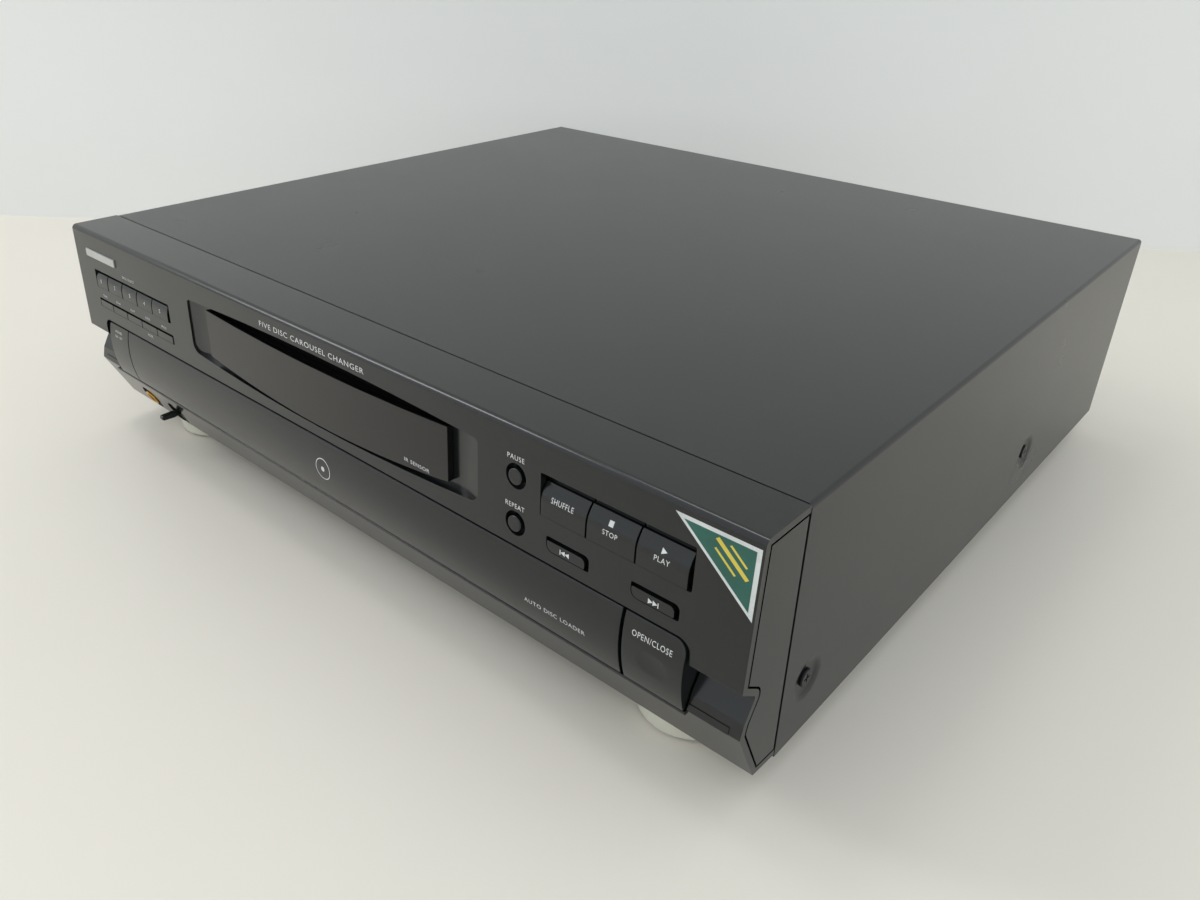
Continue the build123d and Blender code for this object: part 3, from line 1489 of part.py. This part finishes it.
disc_limits = row_limits(disc_left, disc_first_gap, disc_pitch, disc_right, disc_side_gap)
for number, (x0, x1) in enumerate(disc_limits, 1):
    pieces[f"disc_button_{number}"] = rocker_key(
        x0, x1, disc_low + key_foot_gap, disc_high - disc_top_gap, disc_sink, disc_top_gap)

mode_limits = row_limits(mode_left, mode_first_gap, mode_pitch, mode_right, mode_side_gap)
for number, (x0, x1) in enumerate(mode_limits, 1):
    pieces[f"mode_button_{number}"] = flat_key(
        x0, x1, mode_low + key_foot_gap, mode_high - mode_top_gap)

for name, shape in pieces.items():
    export_step(to_row * shape, f"parts/{name}.step")
    print(name, round(shape.volume), "mm3")
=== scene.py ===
"""Looks for the carousel CD changer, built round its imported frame.

Places on the object are given in millimetres as the part's source gives them: X from the
centre line, Y back from the fascia's top edge and Z up from the cover's lower edge.
"""
import json
from math import atan2, cos, pi, radians, sin, sqrt

import bmesh
import bpy
from mathutils import Matrix, Vector

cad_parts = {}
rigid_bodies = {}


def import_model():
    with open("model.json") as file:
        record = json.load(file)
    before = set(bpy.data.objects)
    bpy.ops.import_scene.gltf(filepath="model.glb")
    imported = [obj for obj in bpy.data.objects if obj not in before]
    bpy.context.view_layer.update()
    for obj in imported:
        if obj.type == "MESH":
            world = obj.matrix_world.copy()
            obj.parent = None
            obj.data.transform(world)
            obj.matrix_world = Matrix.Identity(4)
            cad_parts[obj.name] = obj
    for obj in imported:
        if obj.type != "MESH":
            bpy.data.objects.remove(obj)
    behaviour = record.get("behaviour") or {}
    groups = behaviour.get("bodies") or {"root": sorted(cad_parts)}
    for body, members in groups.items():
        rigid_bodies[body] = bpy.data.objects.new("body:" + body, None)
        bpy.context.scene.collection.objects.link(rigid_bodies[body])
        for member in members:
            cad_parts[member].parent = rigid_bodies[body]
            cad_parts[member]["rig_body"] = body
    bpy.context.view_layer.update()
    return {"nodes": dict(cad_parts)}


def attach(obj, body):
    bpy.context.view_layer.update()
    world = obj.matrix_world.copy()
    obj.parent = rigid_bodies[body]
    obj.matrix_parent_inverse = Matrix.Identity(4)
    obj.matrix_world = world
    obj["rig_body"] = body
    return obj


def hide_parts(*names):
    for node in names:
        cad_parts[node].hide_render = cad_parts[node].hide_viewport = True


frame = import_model()

# Camera
# It stands where the photograph was taken from, solved from the case's straight edges.
# The object's own middle and floor are 193.3 mm behind and 12.6 mm below the drawing's zero.
back_of_zero, floor_of_zero = 193.3, 12.6


def row(x, y, z):
    """A place in the drawing's millimetres as a place in the row frame, in metres."""
    return Vector((x, y - back_of_zero, z + floor_of_zero)) / 1000


scene = bpy.context.scene
yaw, pitch, roll = radians(40.156), radians(29.732), radians(1.222)
ahead = Vector((-sin(yaw) * cos(pitch), cos(yaw) * cos(pitch), -sin(pitch)))
level = ahead.cross(Vector((0, 0, 1))).normalized()
above = level.cross(ahead)
across = cos(roll) * level + sin(roll) * above
upright = cos(roll) * above - sin(roll) * level
lens_data = bpy.data.cameras.new("camera")
lens_data.lens, lens_data.sensor_width = 28.157, 36.0
lens_data.clip_start, lens_data.clip_end = 0.01, 50.0
camera = bpy.data.objects.new("camera", lens_data)
scene.collection.objects.link(camera)
camera.matrix_world = (Matrix.Translation(row(319.059, -193.028, 254.504))
                       @ Matrix((across, upright, -ahead)).transposed().to_4x4())
scene.camera = camera
scene.view_settings.view_transform = "Standard"


# Floor, wall and light
# A plain pale painted floor meets a pale wall behind and to the left of the object.
# Room light is soft and comes from all round, with one broad source high on the left.
def linear(code):
    """An sRGB hex colour as linear red, green, blue and alpha."""
    parts = [int(code[k:k + 2], 16) / 255 for k in (1, 3, 5)]
    return [p / 12.92 if p <= 0.04045 else ((p + 0.055) / 1.055) ** 2.4 for p in parts] + [1.0]


def node(tree, kind, inputs=None):
    """One shader node with its fixed values and links."""
    made = tree.nodes.new(kind)
    for key, value in (inputs or {}).items():
        if isinstance(value, bpy.types.NodeSocket):
            tree.links.new(value, made.inputs[key])
        else:
            made.inputs[key].default_value = value
    return made


def tones(tree, where, size_mm, low, high):
    """Two close colours in soft patches of a real size."""
    noise = node(tree, "ShaderNodeTexNoise",
                 {"Vector": where, "Scale": 1000 / size_mm, "Detail": 3.0})
    ramp = node(tree, "ShaderNodeValToRGB", {"Fac": noise.outputs["Fac"]})
    ramp.color_ramp.elements[0].position, ramp.color_ramp.elements[1].position = 0.3, 0.7
    ramp.color_ramp.elements[0].color = linear(low)
    ramp.color_ramp.elements[1].color = linear(high)
    return ramp.outputs["Color"]


def between(tree, value, low, high):
    """A 0 to 1 value spread between two limits."""
    spread = node(tree, "ShaderNodeMapRange", {"Value": value, "To Min": low, "To Max": high})
    return spread.outputs["Result"]


def surface(name, low, high, rough, grain_mm, depth_mm, patch_mm=70.0, uneven=0.05):
    """A skin with patchy colour, uneven sheen and a fine real-sized grain."""
    material = bpy.data.materials.new(name)
    material.use_nodes = True
    tree = material.node_tree
    shader = tree.nodes["Principled BSDF"]
    where = node(tree, "ShaderNodeTexCoord").outputs["Object"]
    tree.links.new(tones(tree, where, patch_mm, low, high), shader.inputs["Base Color"])
    sheen_mm = patch_mm * 0.4
    sheen = node(tree, "ShaderNodeTexNoise",
                 {"Vector": where, "Scale": 1000 / sheen_mm, "Detail": 4.0})
    spread = between(tree, sheen.outputs["Fac"], rough - uneven, rough + uneven)
    tree.links.new(spread, shader.inputs["Roughness"])
    grain = node(tree, "ShaderNodeTexNoise",
                 {"Vector": where, "Scale": 1000 / grain_mm, "Detail": 2.0})
    bump = node(tree, "ShaderNodeBump", {"Height": grain.outputs["Fac"], "Strength": 0.35,
                                         "Distance": depth_mm / 1000})
    tree.links.new(bump.outputs["Normal"], shader.inputs["Normal"])
    return material


def mesh_object(name, mesh):
    """A new object in the scene for a mesh whose place is already in its points."""
    made = bpy.data.objects.new(name, mesh)
    scene.collection.objects.link(made)
    return made


def faces_object(name, points, faces, material):
    """A plain surface from points and faces."""
    mesh = bpy.data.meshes.new(name)
    mesh.from_pydata([tuple(p) for p in points], [], faces)
    mesh.materials.append(material)
    return mesh_object(name, mesh)


floor_paint = surface("painted_floor", "#dfd9cd", "#e3ddd1", 0.42, 3.0, 0.02, 400.0)
floor = faces_object("floor", [(-4, -4, 0), (5, -4, 0), (5, 5, 0), (-4, 5, 0)],
                     [(0, 1, 2, 3)], floor_paint)
wall_paint = surface("painted_wall", "#eaeae6", "#eeeeea", 0.6, 4.0, 0.05, 500.0)
wall_left, wall_right = Vector((-2.86, -1.79, 0)), Vector((2.54, 2.53, 0))
wall_height = Vector((0, 0, 3.0))
wall = faces_object("wall", [wall_left, wall_right, wall_right + wall_height,
                             wall_left + wall_height], [(0, 1, 2, 3)], wall_paint)

# The wall is see-through from behind, so that views of the object's rear aren't blocked.
tree = wall_paint.node_tree
behind_it = node(tree, "ShaderNodeNewGeometry").outputs["Backfacing"]
clear = node(tree, "ShaderNodeBsdfTransparent")
either = node(tree, "ShaderNodeMixShader", {0: behind_it, 2: clear.outputs["BSDF"]})
tree.links.new(tree.nodes["Principled BSDF"].outputs["BSDF"], either.inputs[1])
tree.links.new(either.outputs["Shader"], tree.nodes["Material Output"].inputs["Surface"])

world = bpy.data.worlds.new("room")
world.use_nodes = True
world.node_tree.nodes["Background"].inputs["Color"].default_value = linear("#edf3f9")
world.node_tree.nodes["Background"].inputs["Strength"].default_value = 1.15
scene.world = world


def lamp(name, place, aim, side, watts):
    """A soft square white lamp that looks at a point."""
    data = bpy.data.lights.new(name, "AREA")
    data.shape, data.size, data.energy = "SQUARE", side, watts
    made = bpy.data.objects.new(name, data)
    scene.collection.objects.link(made)
    made.matrix_world = Matrix.Translation(place) @ (
        Vector(aim) - Vector(place)).to_track_quat("-Z", "Y").to_matrix().to_4x4()


lamp("ceiling", (-0.75, -0.1, 2.1), (0, 0, 0), 0.6, 7)
lamp("window", (-1.9, -0.6, 1.5), (0, 0, 0.1), 1.4, 42)


# Helpers for a piece taken from a CAD node
# A copy of the node is merged, its coplanar triangles are joined and its sharp corners get
# the small round that a mould or a press leaves. The copy stands for the node.
def softened(name, radius, material, segments=2, crisp_z=None):
    """A copy of a CAD node with rounded corners, standing for the node.

    Edges at the height crisp_z stay sharp: there the key hangs on the fascia.
    """
    one_place, one_plane, corner, smooth = 2e-6, radians(0.6), radians(32), radians(34)
    source = frame["nodes"][name]
    bm = bmesh.new()
    bm.from_mesh(source.data)
    bmesh.ops.remove_doubles(bm, verts=bm.verts, dist=one_place)
    bmesh.ops.dissolve_limit(bm, angle_limit=one_plane, verts=bm.verts, edges=bm.edges,
                             delimit=set())
    corners = [e for e in bm.edges if len(e.link_faces) == 2 and e.calc_face_angle(0) > corner]
    if crisp_z is not None:
        at, near = (crisp_z + floor_of_zero) / 1000, 2e-4
        corners = [e for e in corners if max(abs(v.co.z - at) for v in e.verts) > near]
    bmesh.ops.bevel(bm, geom=corners, offset=radius / 1000, offset_type="OFFSET",
                    segments=segments, profile=0.5, affect="EDGES", material=-1,
                    clamp_overlap=True)
    mesh = bpy.data.meshes.new(name + "_looks")
    bm.to_mesh(mesh)
    bm.free()
    if "custom_normal" in mesh.attributes:
        mesh.attributes.remove(mesh.attributes["custom_normal"])
    mesh.shade_smooth()
    mesh.set_sharp_from_angle(angle=smooth)
    mesh.materials.clear()
    mesh.materials.append(material)
    made = mesh_object(name + "_looks", mesh)
    even = made.modifiers.new("even_normals", "WEIGHTED_NORMAL")
    even.mode, even.weight, even.keep_sharp = "FACE_AREA", 50, True
    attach(made, source["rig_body"])
    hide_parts(name)
    return made


def finish_node(names, material):
    """Gives CAD nodes a better material in their own slots."""
    for name in names:
        shown = frame["nodes"][name]
        for slot in shown.material_slots:
            slot.material = material


# Fascia and end caps
# One ABS moulding, satin black with a faint green cast, and a flat cap let into each end.
# Fine spark-eroded grain keeps the shine soft, so glare from the wall spreads over it. The
# slot above the display lens gets painted shade: a near-black skin with almost no reflection
# stands for the shadow in that gap.
front_top, front_low, front_run = 105.0, 49.2, 3.1


def front_y(z):
    """Where the leaning front lies at a height, in the drawing's millimetres."""
    return -front_run * (front_top - z) / (front_top - front_low)


fascia_abs = surface("moulded_black_abs", "#0e1111", "#121515", 0.19, 0.35, 0.004, uneven=0.015)
finish_node(["end_cap_left", "end_cap_right"], fascia_abs)
# Painted shade: near-black, rough and with its reflection turned down, so the slot reads as a
# shadowed gap.
painted_shade_slot = surface("slot_painted_shade", "#020202", "#040404", 0.9, 0.5, 0.01, uneven=0.02)
painted_shade_slot.node_tree.nodes["Principled BSDF"].inputs["Specular IOR Level"].default_value = 0.1
shell = softened("fascia", 0.2, fascia_abs, 1)
shell.data.materials.append(painted_shade_slot)

# The slot's faces, told by how far they lie behind the front and where they lie on it, take the
# painted shade.
slot_near, slot_far, slot_half, slot_low, slot_high = 4.0, 7.5, 85.0, 80.0, 98.0
for face in shell.data.polygons:
    at = face.center * 1000 + Vector((0, back_of_zero, -floor_of_zero))
    behind = at.y - front_y(at.z)
    if slot_near < behind < slot_far and abs(at.x) < slot_half and slot_low < at.z < slot_high:
        face.material_index = 1

# Cover
# Folded sheet steel with semi-matt black paint, sprayed, so it has a fine orange peel and
# goes grey at a low angle. The screw dimples are pressed in.
cover_paint = surface("sprayed_black_steel", "#161618", "#1a1a1c", 0.28, 0.9, 0.005, 120.0, 0.015)
softened("top_cover", 0.35, cover_paint)
finish_node(["rear_panel"], cover_paint)

# Screws
# Cross-recess steel screws, blackened, so that only a faint sheen of metal is left.
blacked_steel = surface("blacked_steel", "#1b1b1c", "#2a2a2b", 0.32, 0.4, 0.02, 4.0)
blacked_steel.node_tree.nodes["Principled BSDF"].inputs["Metallic"].default_value = 0.8
finish_node(["case_screws"], blacked_steel)

# Drawer front and large keys
# Separate ABS mouldings in the long opening, crowned, from the same black as the fascia.
key_abs = surface("moulded_key_abs", "#0f1212", "#131616", 0.18, 0.3, 0.004, uneven=0.015)
softened("drawer_front", 0.5, fascia_abs)
softened("power_button", 0.5, key_abs)
softened("open_close_button", 0.7, key_abs)

# Small keys
# Moulded black keys on the front board, with crisp but not sharp corners.
# Those in slots hang on a thin web at their lower edge, so no gap shows there.
trio_low, discs_low, modes_low = 75.98, 75.48, 64.48
for name in ("shuffle_button", "stop_button", "play_button"):
    softened(name, 0.3, key_abs, crisp_z=trio_low)
for name in ("previous_button", "next_button"):
    softened(name, 0.25, key_abs)
for name in ("pause_button", "repeat_button"):
    softened(name, 0.25, key_abs, 3)
for number in range(1, 6):
    softened(f"disc_button_{number}", 0.25, key_abs, crisp_z=discs_low)
    softened(f"mode_button_{number}", 0.2, key_abs, crisp_z=modes_low)

# Display lens
# Smoked acrylic with a polished face. It is nearly black, a little brown, and mirrors the
# room.
lens_acrylic = surface("smoked_acrylic", "#0c0a0a", "#100d0c", 0.1, 6.0, 0.002, 40.0, 0.01)
lens_acrylic.node_tree.nodes["Principled BSDF"].inputs["IOR"].default_value = 1.46
softened("display_lens", 0.3, lens_acrylic)

# Headphone jack
# A turned brass ring, gilt, round the socket's bore.
gilt = surface("gilt_brass", "#b98a35", "#cf9f45", 0.22, 0.5, 0.005, 3.0)
gilt.node_tree.nodes["Principled BSDF"].inputs["Metallic"].default_value = 1.0
softened("headphone_jack", 0.4, gilt, 3)

# Level slider
# A black lever through a slot in the lip, moulded, with a rounded tip.
softened("level_slider", 0.35, key_abs, 3)

# Feet
# Hollow round feet in pale silver-painted ABS, each with a rubber ring beneath.
foot_silver = surface("silver_painted_abs", "#c6c5b6", "#cecdbe", 0.38, 0.5, 0.01, 20.0)
finish_node(["feet"], foot_silver)
rubber = surface("pad_rubber", "#1a1a1a", "#222222", 0.8, 0.8, 0.06, 10.0)
finish_node(["foot_pads", "drive_belt"], rubber)

# Inside
# Black mouldings, zinc-plated steel, laminate boards, white acetal gears and motor cans.
frame_abs = surface("moulded_frame_abs", "#1e1f21", "#262729", 0.5, 0.5, 0.03)
finish_node(["loader_frame", "tray", "carousel", "deck_frame"], frame_abs)
black_part = surface("moulded_black_part", "#161617", "#1e1e1f", 0.42, 0.5, 0.02, 15.0)
finish_node(["line_sockets", "mains_inlet", "power_switch", "pickup_sled", "disc_platter",
             "clamp_puck"], black_part)
zinc = surface("zinc_plated_steel", "#a3a6a8", "#b4b7b8", 0.34, 1.2, 0.008, 30.0)
zinc.node_tree.nodes["Principled BSDF"].inputs["Metallic"].default_value = 1.0
finish_node(["chassis_pan", "clamp_bridge", "level_pot", "carousel_bolt", "carousel_motor",
             "drawer_motor", "sled_motor", "spindle_motor", "guide_rods"], zinc)
laminate = surface("paper_laminate", "#8f6a37", "#a0793f", 0.5, 0.6, 0.01, 25.0)
finish_node(["front_board", "main_board"], laminate)
acetal = surface("white_acetal", "#d8d6cb", "#e2e0d6", 0.4, 0.5, 0.01, 15.0)
finish_node(["carousel_pinion", "drive_gear", "motor_pulley", "sled_gear", "lift_cam"], acetal)
tube_glass = surface("display_tube_glass", "#2b3a3a", "#334444", 0.1, 5.0, 0.002, 20.0)
finish_node(["display_tube"], tube_glass)
core = surface("varnished_core", "#3a3a3e", "#46464a", 0.45, 0.5, 0.03, 10.0)
finish_node(["transformer"], core)

# Printed legends
# White ink, pad printed on the fascia, the drawer and the keys, thin enough to follow their
# curves. The words are plain ones for what the machine and its keys do.
ink = surface("white_ink", "#c9cac8", "#d6d7d5", 0.6, 0.2, 0.005, 6.0)
ink_lift = 0.06
lean = atan2(front_run, front_top - front_low)
trio = {"low": trio_low, "high": 88.3, "sink": 3.2}
discs = {"low": discs_low, "high": 83.1, "sink": 1.0}


def on_front(x, z, out):
    """A place on the leaning front, some way proud of it."""
    return row(x, front_y(z) - out * cos(lean), z + out * sin(lean))


def flat(z):
    """The fascia's own surface."""
    return 0.0


def on_lens(z):
    """The display lens, a hair behind the fascia's surface."""
    return -0.1


def rocker(key):
    """The face of a key that curves back above its straight lower part."""
    straight_share = 0.4

    def depth(z):
        bend = key["low"] + straight_share * (key["high"] - key["low"])
        run = key["high"] - bend
        radius = (run ** 2 + key["sink"] ** 2) / (2 * key["sink"])
        return 0.0 if z <= bend else sqrt(radius ** 2 - (z - bend) ** 2) - radius
    return depth


def on_band(x, z, out):
    """A place on the crowned front of the large keys and the drawer."""
    half, sag, middle, crown = 14.3, 2.1, 43.2, 5.2
    radius = (half ** 2 + sag ** 2) / (2 * sag)
    return row(x, radius - crown - sqrt(radius ** 2 - (z - middle) ** 2) - out, z)


def placed(name, points, faces, x, z, body, depth, band):
    """A flat print at a place on the front, cut across so that it follows a curved face."""
    strip = 0.3
    bm = bmesh.new()
    spots = [bm.verts.new((x + u, z + w, 0)) for u, w in points]
    for face in faces:
        bm.faces.new([spots[k] for k in face])
    if band or depth is not flat:
        low, high = min(v.co.y for v in bm.verts), max(v.co.y for v in bm.verts)
        cuts = int((high - low) / strip) + 1
        for k in range(1, cuts):
            bmesh.ops.bisect_plane(bm, geom=bm.verts[:] + bm.edges[:] + bm.faces[:],
                                   plane_co=(0, low + k * (high - low) / cuts, 0),
                                   plane_no=(0, 1, 0), dist=1e-5)
    for v in bm.verts:
        if band:
            v.co = on_band(v.co.x, v.co.y, ink_lift)
        else:
            v.co = on_front(v.co.x, v.co.y, depth(v.co.y) + ink_lift)
    mesh = bpy.data.meshes.new(name)
    bm.to_mesh(mesh)
    bm.free()
    mesh.materials.append(ink)
    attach(mesh_object(name, mesh), body)


def legend(name, words, x, z, width, cap, body="case", depth=flat, band=False):
    """Words in white ink, fitted to a width and a capital's height in millimetres."""
    curve = bpy.data.curves.new(name, "FONT")
    curve.body = words
    curve.resolution_u = 3
    curve.space_character = 1.12
    drawn = bpy.data.objects.new(name, curve)
    scene.collection.objects.link(drawn)
    bpy.context.view_layer.update()
    seen = drawn.evaluated_get(bpy.context.evaluated_depsgraph_get())
    mesh = bpy.data.meshes.new_from_object(seen)
    xs = [v.co.x for v in mesh.vertices]
    ys = [v.co.y for v in mesh.vertices]
    wide, tall = max(xs) - min(xs), max(ys) - min(ys)
    points = [((v.co.x - min(xs) - wide / 2) * width / wide,
               (v.co.y - min(ys) - tall / 2) * cap / tall) for v in mesh.vertices]
    faces = [tuple(p.vertices) for p in mesh.polygons]
    bpy.data.objects.remove(drawn)
    placed(name, points, faces, x, z, body, depth, band)


def symbol(name, shapes, x, z, body, depth=flat, band=False):
    """Closed outlines in white ink, given in millimetres round the place."""
    points, faces = [], []
    for shape in shapes:
        faces.append(tuple(range(len(points), len(points) + len(shape))))
        points += shape
    placed(name, points, faces, x, z, body, depth, band)


legend("print_pause", "PAUSE", 119.4, 93.2, 8.2, 1.9)
legend("print_repeat", "REPEAT", 119.3, 74.2, 9.3, 1.9)
legend("print_shuffle", "SHUFFLE", 141.1, 83.5, 10.0, 2.0, "shuffle_button", rocker(trio))
legend("print_stop", "STOP", 162.1, 81.8, 6.2, 1.9, "stop_button", rocker(trio))
legend("print_play", "PLAY", 183.1, 81.9, 6.1, 1.9, "play_button", rocker(trio))
legend("print_open_close", "OPEN/CLOSE", 183.6, 51.4, 16.4, 2.3, "open_close_button", band=True)
legend("print_power", "POWER", -180.6, 54.2, 7.0, 1.4, "power_button", band=True)
legend("print_on_off", "ON / OFF", -180.6, 51.6, 7.6, 1.4, "power_button", band=True)
legend("print_disc_select", "DISC SELECT", -160.0, 88.0, 12.5, 1.3)
legend("print_sensor", "IR SENSOR", 65.9, 69.5, 14.8, 1.6, depth=on_lens)
for number, x in enumerate((-193.5, -178.1, -161.7, -146.2, -130.5), 1):
    digit_width = 0.7 if number == 1 else 1.3
    legend(f"print_digit_{number}", str(number), x, 79.2, digit_width, 2.0,
           f"disc_button_{number}", rocker(discs))
for word, x in (("TIME", -191.6), ("SCAN", -176.8), ("EDIT", -160.9), ("FADE", -145.0),
                ("PROG", -128.6)):
    legend(f"print_mode_{word.lower()}", word, x, 71.4, 4.6, 1.2)
legend("print_mode_note", "MODE", -145.0, 62.2, 5.0, 1.2)
symbol("print_square", [[(-0.95, -0.95), (0.95, -0.95), (0.95, 0.95), (-0.95, 0.95)]],
       161.8, 85.3, "stop_button", rocker(trio))
symbol("print_triangle", [[(-0.9, -1.0), (1.2, 0), (-0.9, 1.0)]], 183.2, 84.9,
       "play_button", rocker(trio))
skip = [[(0.1, 0), (2.0, -1.0), (2.0, 1.0)], [(-1.8, 0), (0.1, -1.0), (0.1, 1.0)],
        [(-2.25, -1.0), (-1.85, -1.0), (-1.85, 1.0), (-2.25, 1.0)]]
symbol("print_previous", skip, 143.3, 65.3, "previous_button")
symbol("print_next", [[(-u, w) for u, w in reversed(shape)] for shape in skip], 181.4, 65.0,
       "next_button")
legend("print_title", "FIVE DISC CAROUSEL CHANGER", -0.8, 98.7, 73.0, 2.4)
legend("print_drawer_note", "AUTO DISC LOADER", 140.7, 39.0, 29.2, 1.9, "drawer", band=True)


def circle(radius, count):
    """Points round a circle, in millimetres."""
    return [(radius * cos(2 * pi * k / count), radius * sin(2 * pi * k / count))
            for k in range(count)]


inner, outer = circle(4.7, 32), circle(5.1, 32)
ring = [[inner[k - 1], outer[k - 1], outer[k], inner[k]] for k in range(32)]
symbol("print_disc_mark", ring + [circle(1.2, 16)], 4.3, 44.2, "drawer", band=True)

# Badge bar
# A blank satin aluminium bar with softened edges, stuck high on the left of the fascia.
bright = surface("satin_aluminium", "#b9babb", "#c6c7c8", 0.3, 0.3, 0.006, 10.0)
bright.node_tree.nodes["Principled BSDF"].inputs["Metallic"].default_value = 1.0


def slab(name, outline, thickness, round_mm, material):
    """A thin raised piece on the leaning front, its outline in X and Z millimetres."""
    bm = bmesh.new()
    under = [bm.verts.new(on_front(x, z, 0.0)) for x, z in outline]
    over = [bm.verts.new(on_front(x, z, thickness)) for x, z in outline]
    count = len(outline)
    bm.faces.new(list(reversed(under)))
    top = bm.faces.new(over)
    for k in range(count):
        bm.faces.new((under[k], under[(k + 1) % count], over[(k + 1) % count], over[k]))
    bmesh.ops.bevel(bm, geom=list(top.edges), offset=round_mm / 1000, segments=2,
                    profile=0.5, affect="EDGES", material=-1)
    bmesh.ops.recalc_face_normals(bm, faces=bm.faces)
    mesh = bpy.data.meshes.new(name)
    bm.to_mesh(mesh)
    bm.free()
    mesh.materials.append(material)
    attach(mesh_object(name, mesh), "case")


slab("badge_bar", [(-203.5, 91.4), (-172.5, 91.4), (-172.5, 95.4), (-203.5, 95.4)], 0.8, 0.3,
     bright)

# Sticker
# A printed foil triangle in the top right corner, with a silver-white edge, a dark green
# field and three plain yellow bars along its slanted side.
foil = surface("silver_white_foil", "#c2c6c3", "#d0d4d1", 0.28, 0.6, 0.004, 8.0)
green = surface("printed_green", "#175044", "#1d5a4d", 0.3, 0.6, 0.004, 8.0)
yellow = surface("printed_yellow", "#c9b53f", "#d3c04b", 0.35, 0.6, 0.004, 8.0)
corner, left, low = Vector((216.6, 101.5)), Vector((186.3, 101.5)), Vector((216.6, 76.4))
edge_share, field_share = 1.0, 0.84


def inset(share):
    """The sticker's corners drawn in towards its middle."""
    middle = (corner + left + low) / 3
    return [middle + (p - middle) * share for p in (left, low, corner)]


slab("sticker_edge", inset(edge_share), 0.08, 0.02, foil)
slab("sticker_field", inset(field_share), 0.11, 0.02, green)
along = (low - left).normalized()
inward = (corner - (left + low) / 2).normalized()
for number, (start, length, off, thick) in enumerate(
        ((12.0, 15.0, 7.2, 1.5), (14.5, 10.0, 4.6, 0.8), (15.5, 8.0, 10.2, 0.8))):
    first = left + along * start + inward * off
    last = first + along * length
    side = inward * thick
    slab(f"sticker_bar_{number}", [first, last, last + side, first + side], 0.13, 0.01, yellow)
